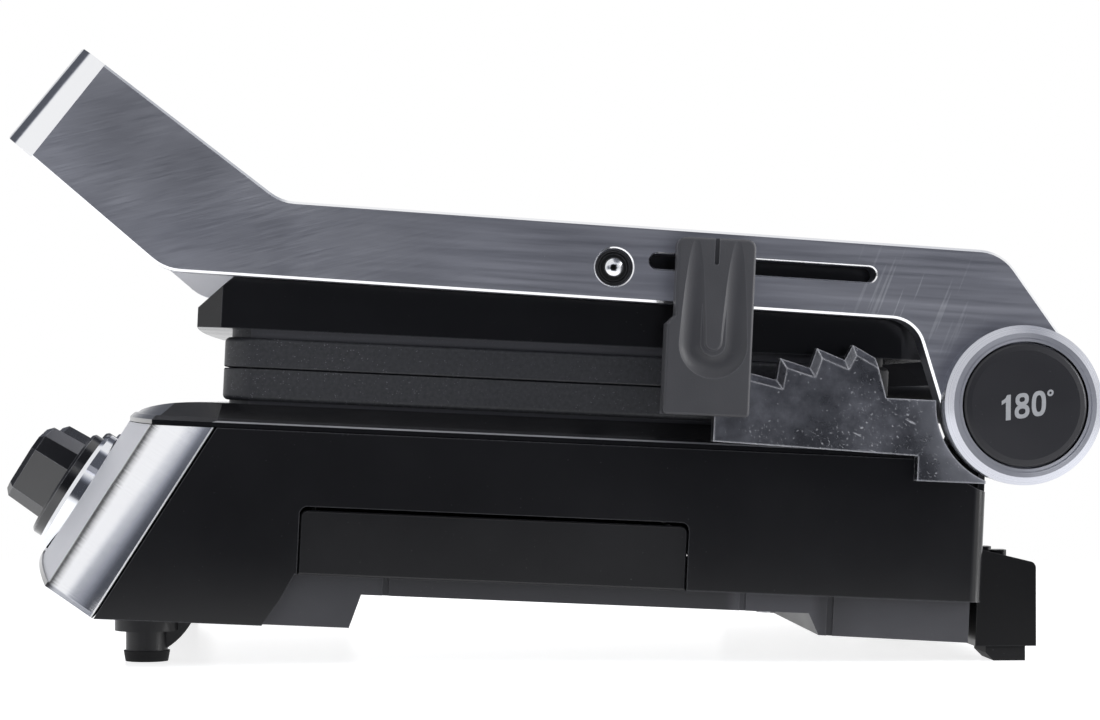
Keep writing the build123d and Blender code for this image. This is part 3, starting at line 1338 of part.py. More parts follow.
with BuildPart() as cord_gland:
    with BuildSketch(across(BASE_REAR + 6)):
        with Locations(GLAND):
            Circle(GLAND_R)
            Circle(GLAND_BORE, mode=Mode.SUBTRACT)
    extrude(amount=5.9)
    with BuildSketch(across(BASE_REAR + 0.5)):
        with Locations(GLAND):
            Circle(GLAND_NECK)
            Circle(GLAND_BORE, mode=Mode.SUBTRACT)
    extrude(amount=4 * BASE_WALL)
    chamfer(cord_gland.faces().sort_by(Axis((0, 0, 0), (0, CT, -ST)))[-1].edges(), 1)
save(cord_gland, "cord_gland")


TOE_COVER = SLOPE_FOOT[1]


def cover_outline(inset):
    """Side view of the bottom cover."""
    shift = (TOE_COVER - BASE_LOW) * tan(radians(RAKE))
    front = SLOPE_FOOT[0] + BASE_WALL / cos(radians(RAKE)) + 2
    return [
        (front - shift + inset, BASE_LOW - 0.4 + 4 * inset),
        (front + inset * 1.2, TOE_COVER + inset),
        (TOE_STEP - inset, TOE_COVER + inset),
        (TOE_STEP + 4 - inset, BELLY_W + inset),
        (SKID_V + inset, BELLY_W + inset),
        (SKID_V + 4 + inset, SKID_W + inset),
        (BASE_REAR - BASE_WALL - 1 - inset, SKID_W - 0.6 + inset),
        (BASE_REAR - BASE_WALL - 1 - inset, BASE_LOW - 0.4 + 4 * inset),
    ]


with BuildPart() as cover_core:
    with BuildSketch(side(-COVER_SIDE + COVER_WALL)):
        Polygon(*cover_outline(COVER_WALL), align=None)
    extrude(amount=2 * (COVER_SIDE - COVER_WALL))

with BuildPart() as bottom_cover:
    with BuildSketch(side(-COVER_SIDE)):
        Polygon(*cover_outline(0), align=None)
    extrude(amount=2 * COVER_SIDE)
    add(cover_core.part, mode=Mode.SUBTRACT)
    # rails under the drip tray
    for v in (NOTCH_FRONT + 26, NOTCH_REAR - 16):
        with BuildSketch(deck(BELLY_W + COVER_WALL - 0.5)):
            with Locations((0, v)):
                Rectangle(2 * COVER_SIDE - 2 * COVER_WALL, 5)
        extrude(amount=TRAY_LOW - GAP - BELLY_W - COVER_WALL + 0.5)
    # cooling slits
    with BuildSketch(deck(SKID_W - 3)):
        for i in range(-3, 4):
            with Locations((i * SLIT_PITCH, (SKID_V + BASE_REAR) / 2)):
                SlotOverall(SLIT_LEN, SLIT_W, rotation=90)
    extrude(amount=8, mode=Mode.SUBTRACT)
    # upright grooves that part the sides into blocks
    for x in (COVER_SIDE - CHASE_DEEP, -COVER_SIDE - 1):
        with BuildSketch(side(x)):
            for v in (TOE_STEP + 13, NOTCH_REAR + 22, SKID_V + 8):
                with Locations((v, (BASE_LOW + SKID_W) / 2)):
                    Rectangle(CHASE_W, BASE_LOW - SKID_W + 4)
        extrude(amount=CHASE_DEEP + 1, mode=Mode.SUBTRACT)
save(bottom_cover, "bottom_cover")

with BuildPart() as cover_screws:
    for x in (-COVER_SIDE + SCREW_IN, COVER_SIDE - SCREW_IN):
        with BuildSketch(deck(BELLY_W - 1.2)):
            with Locations((x, SKID_V - SCREW_BACK)):
                Circle(SCREW_R)
        extrude(amount=1.15)
    with BuildSketch(deck(BELLY_W - 1.2)):
        with Locations((-COVER_SIDE + SCREW_IN, SKID_V - SCREW_BACK), (COVER_SIDE - SCREW_IN, SKID_V - SCREW_BACK)):
            Rectangle(1.2 * SCREW_R, SCREW_R / 4)
            Rectangle(SCREW_R / 4, 1.2 * SCREW_R)
    extrude(amount=0.7, mode=Mode.SUBTRACT)
save(cover_screws, "cover_screws")

with BuildPart() as terminal_block:
    long, wide, high = TERMINAL
    spot = (GLAND[0], SKID_V + TERMINAL[0] * 0.74)
    with BuildSketch(deck(SKID_W + COVER_WALL)):
        with Locations(spot):
            RectangleRounded(long, wide, wide / 9)
    extrude(amount=high)
    with BuildSketch(deck(SKID_W + COVER_WALL + 0.65 * high)):
        for i in (-1.5, -0.5, 0.5, 1.5):
            with Locations((spot[0] + i * POLE_PITCH, spot[1])):
                Circle(POLE_R)
    extrude(amount=high, mode=Mode.SUBTRACT)
save(terminal_block, "terminal_block")

# Drip tray: a drawer that comes out to the right
PANEL_OUT = BASE_HALF - PANEL_INSET
with BuildPart() as drip_tray:
    with BuildSketch(side(PANEL_OUT - PANEL_T)) as front:
        Polygon(
            (NOTCH_FRONT + GAP, BASE_LOW),
            (NOTCH_REAR - GAP, BASE_LOW),
            (NOTCH_REAR - GAP, NOTCH_TOP - PANEL_DROP),
            (NOTCH_FRONT + GAP, NOTCH_TOP - PANEL_DROP),
            align=None,
        )
        upper = [(v, NOTCH_TOP - PANEL_DROP) for v in (NOTCH_FRONT + GAP, NOTCH_REAR - GAP)]
        fillet(near(front.vertices(), *upper), NOTCH_R - GAP)
    extrude(amount=PANEL_T)
    panel_face = drip_tray.faces().sort_by(Axis.X)[-1]
    chamfer(panel_face.edges(), 0.5)
    with BuildSketch(side(PANEL_OUT - PANEL_T - TRAY_DEEP)):
        Polygon(
            (NOTCH_FRONT + TRAY_SIDE, TRAY_LOW),
            (NOTCH_REAR - TRAY_SIDE, TRAY_LOW),
            (NOTCH_REAR - TRAY_SIDE, TRAY_TOP),
            (NOTCH_FRONT + TRAY_SIDE, TRAY_TOP),
            align=None,
        )
    extrude(amount=TRAY_DEEP)
    with BuildSketch(deck(TRAY_LOW + TRAY_WALL)) as well:
        inner = PANEL_OUT - PANEL_T - TRAY_DEEP + TRAY_WALL
        outer = PANEL_OUT - PANEL_T - TRAY_WALL
        with Locations(((inner + outer) / 2, (NOTCH_FRONT + NOTCH_REAR) / 2)):
            length = NOTCH_REAR - NOTCH_FRONT - 2 * TRAY_SIDE - 2 * TRAY_WALL
            RectangleRounded(outer - inner, length, TRAY_R)
    extrude(amount=TRAY_TOP - TRAY_LOW, mode=Mode.SUBTRACT)
save(drip_tray, "drip_tray")

# Rear stand, a box under the hinge that carries the grill when it lies open
STAND_FRONT = BASE_REAR + 0.1
STAND_REAR_Y = world(0, BASE_REAR, BASE_LOW)[1] + STAND_DEEP
REAR_PAD_Y = STAND_REAR_Y - REAR_PAD_IN


def stand_block(inset):
    low = from_floor(STAND_REAR_Y, STAND_LOW_Z)
    back = from_floor(STAND_REAR_Y, STAND_BACK_Z)
    front_low = from_floor(0, STAND_LOW_Z)
    w_low = low[1] + (STAND_FRONT - low[0]) * (front_low[1] - low[1]) / (front_low[0] - low[0])
    w_top = from_floor(world(0, STAND_FRONT, -60)[1], STAND_TOP_Z)[1]
    with BuildPart() as block:
        with BuildSketch(side(-STAND_HALF + inset)) as outline:
            Polygon(
                (STAND_FRONT + inset, w_low - 2 * inset),
                (low[0] - inset, low[1] - 2 * inset),
                (back[0] - inset, back[1] - inset),
                (STAND_FRONT + inset, w_top - inset),
                align=None,
            )
            if not inset:
                fillet(near(outline.vertices(), back), 2.5)
        extrude(amount=2 * (STAND_HALF - inset))
    return block.part


stand_outer = stand_block(0)
stand_inner = stand_block(STAND_WALL)
with BuildPart() as rear_stand:
    add(stand_outer)
    add(stand_inner, mode=Mode.SUBTRACT)
    for x in (-STAND_HALF / 3, STAND_HALF / 3):
        low = from_floor(STAND_REAR_Y, STAND_LOW_Z)
        back = from_floor(STAND_REAR_Y, STAND_BACK_Z)
        with BuildSketch(side(x)):
            Polygon(
                (STAND_FRONT + 1, low[1] + 3),
                (low[0] - 1, low[1] + 3),
                (back[0] - 1, back[1] - 1.5),
                (STAND_FRONT + 1, back[1] - 1.5),
                align=None,
            )
        extrude(amount=3)
    for x in (-STAND_HALF + 12, -STAND_HALF + 40, STAND_HALF - 46, STAND_HALF - 18):
        with BuildSketch(Plane(origin=(x, STAND_REAR_Y - 11, STAND_BACK_Z))):
            RectangleRounded(8, 6, 2)
        extrude(amount=4.2)
    for x in (-REAR_PAD_X, REAR_PAD_X):
        with BuildSketch(Plane(origin=(x, REAR_PAD_Y + REAR_PAD_W / 2, STAND_LOW_Z))):
            Rectangle(REAR_PAD_L, REAR_PAD_W)
        extrude(amount=3)
save(rear_stand, "rear_stand")

with BuildPart() as rear_feet:
    for x in (-REAR_PAD_X, REAR_PAD_X):
        with BuildSketch(Plane(origin=(x - REAR_PAD_L / 2, 0, 0), x_dir=(0, 1, 0), z_dir=(1, 0, 0))):
            Polygon(
                (REAR_PAD_Y + 3, 0),
                (REAR_PAD_Y + REAR_PAD_W, 0),
                (REAR_PAD_Y + REAR_PAD_W, STAND_LOW_Z),
                (REAR_PAD_Y, STAND_LOW_Z),
                (REAR_PAD_Y, 3),
                align=None,
            )
        extrude(amount=REAR_PAD_L)
save(rear_feet, "rear_feet")

FOOT_Y = world(0, *SLOPE_FOOT)[1] + FOOT_BACK

# Front feet: a collar and a post, stayed by a hollow-cheeked gusset at the rear
with BuildPart() as front_feet:
    for x in (-FOOT_X, FOOT_X):
        with BuildSketch(Plane(origin=(x, FOOT_Y, COLLAR_Z))):
            Circle(COLLAR_R)
        extrude(amount=COLLAR_R)
        with BuildSketch(Plane(origin=(x - GUSSET_T / 2, FOOT_Y, PAD_H), x_dir=(0, 1, 0), z_dir=(1, 0, 0))):
            high = COLLAR_Z + COLLAR_R - PAD_H
            with BuildLine():
                ThreePointArc((FOOT_R, 1), (GUSSET_LEN * 0.62, high * 0.24), (GUSSET_LEN, high))
                Polyline((GUSSET_LEN, high), (0, high), (0, 1), (FOOT_R, 1))
            make_face()
        extrude(amount=GUSSET_T)
        with BuildSketch(Plane(origin=(x, FOOT_Y, PAD_H))):
            Circle(FOOT_R)
        extrude(amount=COLLAR_Z - PAD_H)
    with BuildSketch(deck(TOE_COVER)):
        Rectangle(3 * BASE_HALF, 3 * BASE_HALF)
    extrude(amount=40, mode=Mode.SUBTRACT)
save(front_feet, "front_feet")

with BuildPart() as front_pads:
    for x in (-FOOT_X, FOOT_X):
        with BuildSketch(Plane(origin=(x, FOOT_Y, 0))):
            Circle(PAD_R - 0.8)
        extrude(amount=PAD_H, taper=-10)
save(front_pads, "front_pads")
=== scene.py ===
"""Looks of a contact grill that opens out flat, seen from its right side in soft studio light."""

import json
from math import copysign, cos, pi, radians, sin

import bpy
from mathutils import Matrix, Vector


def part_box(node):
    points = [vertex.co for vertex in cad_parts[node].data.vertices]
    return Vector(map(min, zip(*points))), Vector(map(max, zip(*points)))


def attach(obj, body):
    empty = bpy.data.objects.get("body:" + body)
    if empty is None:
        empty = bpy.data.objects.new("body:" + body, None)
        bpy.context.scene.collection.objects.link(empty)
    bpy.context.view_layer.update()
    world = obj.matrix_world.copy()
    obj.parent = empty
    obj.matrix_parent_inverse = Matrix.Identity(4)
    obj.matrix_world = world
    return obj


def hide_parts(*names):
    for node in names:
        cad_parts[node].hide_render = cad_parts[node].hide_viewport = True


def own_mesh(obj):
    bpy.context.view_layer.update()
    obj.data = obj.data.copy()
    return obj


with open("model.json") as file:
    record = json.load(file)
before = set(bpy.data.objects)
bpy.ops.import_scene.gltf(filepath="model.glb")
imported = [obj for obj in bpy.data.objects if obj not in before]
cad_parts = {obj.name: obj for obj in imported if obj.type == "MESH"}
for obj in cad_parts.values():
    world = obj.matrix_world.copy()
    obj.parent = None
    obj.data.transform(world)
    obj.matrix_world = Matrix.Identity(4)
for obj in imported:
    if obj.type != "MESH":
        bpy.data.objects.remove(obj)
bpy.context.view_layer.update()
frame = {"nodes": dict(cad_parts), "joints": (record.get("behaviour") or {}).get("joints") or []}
NODES = frame["nodes"]
JOINTS = {j["name"]: j for j in frame["joints"]}

# Places are in metres: X to the grill's right, Y to its rear, Z up.
# From the joints: out of the front panel and down along it, the hinge, and the head's pivot
PANEL_OUT = Vector(JOINTS["timer_turn"]["axis"])
PANEL_DOWN = PANEL_OUT.cross(Vector((-1, 0, 0)))
HUB = Vector(JOINTS["lift_hinge"]["pos_m"])
PIVOT = Vector(JOINTS["head_tilt"]["pos_m"])

# Handle: its direction from the end toward the bend, where along it the roll of its end begins,
# how far the steep part of that roll reaches, what that part adds to the slope, and the slope of
# the whole roll
ALONG_HANDLE = Vector((0, 0.786, -0.619))
END_CREASE = -0.2610
END_FLAT = 0.0042
END_STEEP, END_SLOPE = 0.26, 0.02

# Lift frame: y where the handle's finish begins to give way to the arms' and where it is gone, the
# rise of the arms in degrees, and how far from the hinge the painted shade on the left arm's inner
# face is full and where it ends
HANDLE_TO_ARM = (-0.09, -0.01)
ARM_RISE = -3.5
INNER_SHADE = (0.070, 0.110)

# Spots as (y, z, radius): painted highlights on the handle and the arm, painted shade under the
# handle's upper edge, grinding beside the hub, a paler patch inside the left arm, and the scuffs
# low on the rack
HIGHLIGHT_SPOTS = ((-0.180, 0.186, 0.028), (-0.132, 0.157, 0.030), (-0.02, 0.150, 0.030))
SHADE_SPOTS = ((-0.152, 0.199, 0.026), (-0.130, 0.183, 0.024))
GROUND_SPOTS = ((HUB.y - 0.040, HUB.z + 0.040, 0.030),)
PALE_INNER_SPOTS = ((-0.140, 0.150, 0.040),)
SCUFFED_SPOTS = (
    (0.128, 0.088, 0.024), (0.150, 0.072, 0.012), (0.084, 0.081, 0.012), (0.107, 0.079, 0.014),
)

# Places by X: the left arm lies beyond the first, the trim's sides and the deck's rim lie further
# from the middle than the next two, and the plates' seats nearer to it than the last
LEFT_ARM_X = -0.10
TRIM_SIDE_X = 0.14
DECK_RIM_X = 0.1494
PLATE_SEAT_X = 0.1385

# Deck's rim, where a painted highlight lies: between what limits its normal leans along X and
# along Z
DECK_RIM_LEAN_X, DECK_RIM_LEAN_Z = (0.66, 0.73), (0.69, 0.74)

# Plates: y up to which the sparkle at the front is dense, and where it is as sparse as elsewhere
SPARKLE_FRONT = (-0.118, -0.070)

# Rack: how far from the hinge its face is dressed bright, and where that ends
RACK_DRESSED = (0.030, 0.042)

# Front trim: how far past its first edge the dark seam and the painted white highlight line fade
# out, how far before its last edge the painted dark reflection along the crease fades in and is
# full, how far the brushing shifts that reflection, and the sheet's winding, with how far down the
# panel it is level
TRIM_SEAM = (0.0003, 0.0004)
TRIM_HIGHLIGHT_LINE = (0.0009, 0.0010)
TRIM_CREASE_REFLECTION = (0.0046, 0.0012)
TRIM_REFLECTION_COMB = 0.0010
TRIM_WINDING = 1.5
TRIM_LEVEL = 0.020

# Pivot bolts: the radius to which the socket is painted dark as shade, where that ends, and the
# dome's own radius
BOLT_SOCKET_SHADE = (0.0011, 0.0014)
BOLT_DOME = 0.0045

# Underside: its share of the plastic's tone from front to rear, as (y, share), painted light and
# shade along it
UNDER_LIGHT_AND_SHADE = (
    (-0.120, 0.70), (-0.060, 0.55), (-0.056, 0.38), (0.070, 0.42), (0.074, 1.0),
    (0.102, 0.95), (0.106, 0.45), (0.122, 0.80), (0.170, 0.70),
)

# Disc spring: the body that it sits on, the radius of its eye, the thickness of its sheet, and the
# steps round it
SPRING_BODY = "lift"
SPRING_EYE = 0.0065
SPRING_SHEET = 0.0008
SPRING_STEPS = 64

# Number on the button: height of the figures and their turn on the face; then as shares of that
# height their lean, stroke and shift to the middle; the ink's under side and top above the face,
# and how far the 8's upper ring lies over the lower one
FIGURE_HEIGHT = 0.0092
FIGURE_TURN = radians(7.5)
FIGURE_LEAN = 0.14
FIGURE_STROKE = 0.20
FIGURE_SHIFT = 0.05
INK = (0.00002, 0.0001)
INK_OVERLAP = 0.00003

# Camera of the photograph: at the grill's right, level with its deck
CAMERA_AT = Vector((1.30765, -0.07176, 0.09807))
CAMERA_YAW = radians(3.7353)      # turned from straight across toward the rear
CAMERA_PITCH = radians(0.7283)    # looking a little up
CAMERA_RANGE = (0.01, 50)
SENSOR = 36.0
FOCAL_PIXELS, IMAGE_PIXELS = 3140, 1100
LENS = SENSOR * FOCAL_PIXELS / IMAGE_PIXELS

# Light of the room: soft light, what glossy surfaces see, its colour where it is dim, and its dark
# flags as (direction, cosine where the flag begins, cosine where it is full, share of light left)
AMBIENT = 0.26
ROOM = 0.95
DIM = (0.80, 0.86, 1.06)
FLAGS = (
    ((1.0, 0.06, 0.09), 0.84, 0.975, 0.08),      # at the camera's side, for the flat arms
    ((0.80, -0.60, -0.02), 0.93, 0.98, 0.15),    # low beside it, toward the front
    ((-0.45, -0.72, 0.53), 0.85, 0.93, 0.12),    # beyond the handle's end
    ((-0.80, 0.06, 0.60), 0.90, 0.96, 0.15),     # above and behind, for upper edges
    ((0.34, 0.40, 0.85), 0.88, 0.96, 0.12),      # overhead
    ((-0.959, -0.13, 0.25), 0.983, 0.993, 0.20), # far side, for the deck's front rim
)

# Lamps: the point that all of them face
LIT_MIDDLE = Vector((0, 0, 0.1))

# Floor: half its width, how far from the middle it is solid and where it is gone, and its own glow
FLOOR = 3.0
FLOOR_SOLID, FLOOR_GONE = 0.32, 0.70
FLOOR_GLOW = 0.78

# Shading: the range that most of a noise keeps within, the depth of fine grain, how far a flat
# face's normal leans along an axis, more than any normal leans, the cosine of the turn at which the
# strip along an edge is full and where it ends, the share of a spot that is full, and two tones
NOISE_LOW, NOISE_HIGH = 0.3, 0.7
GRAIN_DEPTH = 0.0003
FLAT = 0.985
ANY = 1.01
EDGE_TURN = (0.90, 0.985)
SPOT_CORE = 0.25
BLACK, WHITE = (0.0, 0.0, 0.0), (1.0, 1.0, 1.0)

# Sockets of a mix node for its two values and the result
MIX_SOCKETS = {"FLOAT": (2, 3, 0), "RGBA": (6, 7, 2)}


class Tree:
    """A short way to build a node tree; a value is a node's output, a number, vector or colour."""

    def __init__(self, tree):
        self.tree = tree

    def new(self, kind, **settings):
        """A node with some of its properties and sockets set."""
        node = self.tree.nodes.new(kind)
        for key, value in settings.items():
            if key in node.bl_rna.properties:
                setattr(node, key, value)
            else:
                node.inputs[key].default_value = value
        return node

    def put(self, value, socket):
        """Links an output to a socket, or sets the socket to a constant."""
        if isinstance(value, bpy.types.NodeSocket):
            self.tree.links.new(value, socket)
        elif socket.type == "RGBA":
            socket.default_value = (*value, 1)
        else:
            socket.default_value = value

    def math(self, operation, a, b=0.0):
        node = self.new("ShaderNodeMath", operation=operation)
        self.put(a, node.inputs[0])
        self.put(b, node.inputs[1])
        return node.outputs["Value"]

    def times(self, product, *factors):
        for factor in factors:
            product = self.math("MULTIPLY", product, factor)
        return product

    def plus(self, a, b):
        return self.math("ADD", a, b)

    def most(self, a, b):
        return self.math("MAXIMUM", a, b)

    def dot(self, a, b):
        node = self.new("ShaderNodeVectorMath", operation="DOT_PRODUCT")
        self.put(a, node.inputs[0])
        self.put(b, node.inputs[1])
        return node.outputs["Value"]

    def length(self, vector):
        node = self.new("ShaderNodeVectorMath", operation="LENGTH")
        self.put(vector, node.inputs[0])
        return node.outputs["Value"]

    def part(self, vector, axis):
        node = self.new("ShaderNodeSeparateXYZ")
        self.put(vector, node.inputs["Vector"])
        return node.outputs[axis]

    def remap(self, value, low, high, to_low, to_high, kind="LINEAR"):
        """Carries one range over to another, and keeps within that."""
        node = self.new("ShaderNodeMapRange", clamp=True, interpolation_type=kind)
        self.put(value, node.inputs["Value"])
        ends = {"From Min": low, "From Max": high, "To Min": to_low, "To Max": to_high}
        for key, number in ends.items():
            node.inputs[key].default_value = number
        return node.outputs["Result"]

    def rise(self, value, low, high):
        """From 0 at low to 1 at high."""
        return self.remap(value, low, high, 0.0, 1.0)

    def fall(self, value, low, high):
        """From 1 at low to 0 at high."""
        return self.remap(value, low, high, 1.0, 0.0)

    def mix(self, factor, a, b, kind="RGBA"):
        """A mix of two colours, or of two numbers where the kind is FLOAT."""
        node = self.new("ShaderNodeMix", data_type=kind)
        first, second, mixed = MIX_SOCKETS[kind]
        self.put(factor, node.inputs[0])
        self.put(a, node.inputs[first])
        self.put(b, node.inputs[second])
        return node.outputs[mixed]


class Material(Tree):
    """The node tree of a new material, with its shader, its textures and its masks."""

    def __init__(self, name):
        self.mat = bpy.data.materials.new(name)
        self.mat.use_nodes = True
        super().__init__(self.mat.node_tree)
        self.shader = self.tree.nodes["Principled BSDF"]

    def set(self, **sockets):
        """Sets the shader's own sockets to constants."""
        for key, value in sockets.items():
            self.shader.inputs[key.replace("_", " ")].default_value = value

    def use(self, socket, value):
        """Links a value to one of the shader's sockets."""
        self.put(value, self.shader.inputs[socket])

    def place(self):
        """Object coordinates in metres; every node of the frame sits at the origin."""
        return self.new("ShaderNodeTexCoord").outputs["Object"]

    def at(self, axis):
        """One of the object coordinates."""
        return self.part(self.place(), axis)

    def off_middle(self):
        """How far a point lies to either side of the middle."""
        return self.math("ABSOLUTE", self.at("X"))

    def along(self, direction):
        """How far a point lies along a direction."""
        return self.dot(self.place(), direction)

    def mapped(self, kind, **sockets):
        """Object coordinates through a mapping."""
        mapping = self.new("ShaderNodeMapping", vector_type=kind, **sockets)
        self.put(self.place(), mapping.inputs["Vector"])
        return mapping.outputs["Vector"]

    def distance(self, point):
        """Distance from the line along X through a point."""
        shift = (0, -point[1], -point[2])
        return self.length(self.mapped("POINT", Location=shift, Scale=(0, 1, 1)))

    def noise(self, fineness, detail=3.0, rough=0.55, vector=None):
        """Noise by place, or by another vector."""
        node = self.new("ShaderNodeTexNoise", Scale=fineness, Detail=detail, Roughness=rough)
        self.put(self.place() if vector is None else vector, node.inputs["Vector"])
        return node.outputs["Fac"]

    def strokes(self, fineness, rise=0.0, detail=3.0, rough=0.55):
        """Noise with a fineness along each axis, in strokes that rise to the rear, in degrees."""
        stretch = [1 / fine for fine in fineness]
        vector = self.mapped("TEXTURE", Rotation=(radians(rise), 0, 0), Scale=stretch)
        return self.noise(1.0, detail, rough, vector)

    def lines(self, value, fineness, detail, rough=0.5):
        """Noise along one value, for marks that lie side by side."""
        settings = {"Scale": fineness, "Detail": detail, "Roughness": rough}
        node = self.new("ShaderNodeTexNoise", noise_dimensions="1D", **settings)
        self.put(value, node.inputs["W"])
        return node.outputs["Fac"]

    def ramp(self, value, stops):
        """A colour ramp through (position, grey or colour) stops."""
        node = self.new("ShaderNodeValToRGB")
        bar = node.color_ramp
        while len(bar.elements) < len(stops):
            bar.elements.new(0.5)
        for element, (position, tone) in zip(bar.elements, stops):
            element.position = position
            element.color = (*tone, 1) if isinstance(tone, tuple) else (tone, tone, tone, 1)
        self.put(value, node.inputs["Fac"])
        return node.outputs["Color"]

    def tones(self, noise, dark, light):
        """A colour that follows a noise from dark to light."""
        return self.ramp(noise, ((NOISE_LOW, dark), (NOISE_HIGH, light)))

    def vary(self, noise, low, high):
        """A number that follows a noise from low to high."""
        return self.remap(noise, NOISE_LOW, NOISE_HIGH, low, high)

    def peaks(self, noise, start, full):
        """A mask of where a noise is high."""
        return self.ramp(noise, ((start, 0.0), (full, 1.0)))

    def near(self, spots):
        """A mask of soft spots round points (y, z), each with its radius."""
        mask = None
        for y, z, radius in spots:
            spot = self.fall(self.distance((0, y, z)), SPOT_CORE * radius, radius)
            mask = spot if mask is None else self.most(mask, spot)
        return mask

    def facing(self, axis, low, high=ANY):
        """A mask of the faces whose normal leans between low and high along an axis, either way."""
        normal = self.new("ShaderNodeNewGeometry").outputs["True Normal"]
        lean = self.math("ABSOLUTE", self.part(normal, axis))
        above = self.math("GREATER_THAN", lean, low)
        return self.times(above, self.math("LESS_THAN", lean, high))

    def rightward(self):
        """A mask of the faces that look to the grill's right."""
        normal = self.new("ShaderNodeNewGeometry").outputs["True Normal"]
        return self.math("GREATER_THAN", self.part(normal, "X"), 0.5)

    def edges(self, width):
        """A mask along sharp edges, from how far a rounding of that width would turn the normal."""
        rounded = self.new("ShaderNodeBevel", samples=4, Radius=width).outputs["Normal"]
        normal = self.new("ShaderNodeNewGeometry").outputs["Normal"]
        return self.fall(self.dot(rounded, normal), *EDGE_TURN)

    def bump(self, height, strength=1.0, depth=1.0, under=None):
        """A normal from a height in metres or a noise of some depth, over the normal under it."""
        node = self.new("ShaderNodeBump", Strength=strength, Distance=depth)
        self.put(height, node.inputs["Height"])
        if under is not None:
            self.put(under, node.inputs["Normal"])
        return node.outputs["Normal"]


def cast_aluminium():
    """Satin casting: slanting strokes on the handle and level ones on the arms, with bright edges.

    It has painted highlights at the handle's end and bend, painted shade under its upper edge and
    on the left arm's inner face by the hub, a paler patch inside at the bend, scratches, and an
    end that rolls off.
    """
    between, stroke = (0.470, 0.478, 0.530), (0.600, 0.608, 0.668)
    clouded, shade_tone = (0.335, 0.340, 0.378), (0.315, 0.320, 0.355)
    handle, highlight_tone = (0.88, 0.885, 0.93), (0.76, 0.77, 0.84)
    scratched, bright = (0.88, 0.89, 0.92), (0.93, 0.935, 0.945)
    inner_shade_tone, pale_inner_tone = (0.02, 0.02, 0.022), (0.95, 0.95, 0.97)
    n = Material("cast_aluminium")
    slant = n.strokes((24, 60, 2400), rise=14)
    level = n.strokes((24, 14, 420), ARM_RISE, detail=4)
    rearward = n.rise(n.at("Y"), *HANDLE_TO_ARM)
    grain = n.mix(rearward, slant, level)
    cloud = n.strokes((10, 9, 26), ARM_RISE, detail=4)
    tone = n.tones(grain, between, stroke)
    tone = n.mix(n.remap(cloud, 0.38, 0.66, 0.0, 0.5), tone, clouded)
    # the handle is brighter than the arms; painted highlights lie at its end and its bend, and
    # painted shade under its upper edge
    tone = n.mix(n.remap(rearward, 0.0, 1.0, 0.5, 0.0), tone, handle)
    tone = n.mix(n.times(n.near(HIGHLIGHT_SPOTS), n.vary(grain, 0.25, 0.55)), tone, highlight_tone)
    tone = n.mix(n.times(n.near(SHADE_SPOTS), 0.45), tone, shade_tone)
    # fine scratches on the slant, a few nicks, and grinding strokes beside the hub
    scratch = n.peaks(n.strokes((100, 55, 2400), rise=17, detail=2), 0.64, 0.72)
    nick = n.peaks(n.strokes((100, 420, 640), rise=-40, detail=2), 0.75, 0.79)
    some = n.peaks(n.noise(26.0, detail=1), 0.52, 0.62)
    ground = n.peaks(n.strokes((100, 26, 620), rise=68, detail=1), 0.63, 0.67)
    marks = n.times(scratch, n.remap(rearward, 0.0, 1.0, 0.16, 0.05))
    marks = n.plus(marks, n.times(nick, some, 0.6))
    marks = n.plus(marks, n.times(ground, n.near(GROUND_SPOTS), 0.5))
    tone = n.mix(marks, tone, scratched)
    # bevels and the sides of the handle's end are bright
    past_crease = n.math("MINIMUM", n.math("SUBTRACT", n.along(ALONG_HANDLE), END_CREASE), 0.0)
    past_crease = n.times(past_crease, n.facing("X", 0.40))
    edge = n.most(n.facing("X", 0.06, FLAT), n.math("LESS_THAN", past_crease, -0.00001))
    tone = n.mix(n.times(edge, 0.95), tone, bright)
    # painted shade darkens the left arm's inner face beside the hub, and a patch at the bend is
    # paler
    left = n.times(n.math("LESS_THAN", n.at("X"), LEFT_ARM_X), n.rightward())
    inner_shade = n.times(left, n.fall(n.distance(HUB), *INNER_SHADE))
    pale_inner = n.times(left, n.near(PALE_INNER_SPOTS))
    tone = n.mix(inner_shade, tone, inner_shade_tone)
    n.use("Base Color", n.mix(pale_inner, tone, pale_inner_tone))
    rough = n.plus(n.vary(grain, 0.31, 0.37), n.vary(cloud, -0.03, 0.05))
    rough = n.math("SUBTRACT", rough, n.times(edge, 0.22))
    n.use("Roughness", n.plus(rough, n.times(pale_inner, 0.3)))
    # the flat face rolls off before the handle's rounded end
    roll = n.times(n.most(past_crease, -END_FLAT), END_STEEP)
    roll = n.plus(roll, n.times(past_crease, END_SLOPE))
    wave = n.bump(cloud, 0.15, 0.002, n.bump(roll))
    n.use("Normal", n.bump(grain, 0.012, GRAIN_DEPTH, wave))
    n.set(Metallic=1.0)
    return n.mat


def turned_aluminium():
    """Turned rings with fine circular marks round the hinge; flat lands are duller than bevels."""
    n = Material("turned_aluminium")
    marks = n.lines(n.distance(HUB), 3200.0, detail=3)
    cloud = n.noise(30.0)
    land = n.facing("X", FLAT)
    tone = n.tones(marks, (0.50, 0.51, 0.56), (0.62, 0.63, 0.68))
    n.use("Base Color", n.mix(n.times(land, 0.7), tone, (0.44, 0.45, 0.50)))
    rough = n.plus(n.vary(marks, 0.20, 0.28), n.vary(cloud, -0.03, 0.03))
    n.use("Roughness", n.plus(rough, n.times(land, 0.14)))
    n.use("Normal", n.bump(marks, 0.03, 0.0002))
    round_x = n.new("ShaderNodeTangent", direction_type="RADIAL", axis="X")
    n.use("Tangent", round_x.outputs["Tangent"])
    n.set(Metallic=1.0, Anisotropic=0.75)
    return n.mat


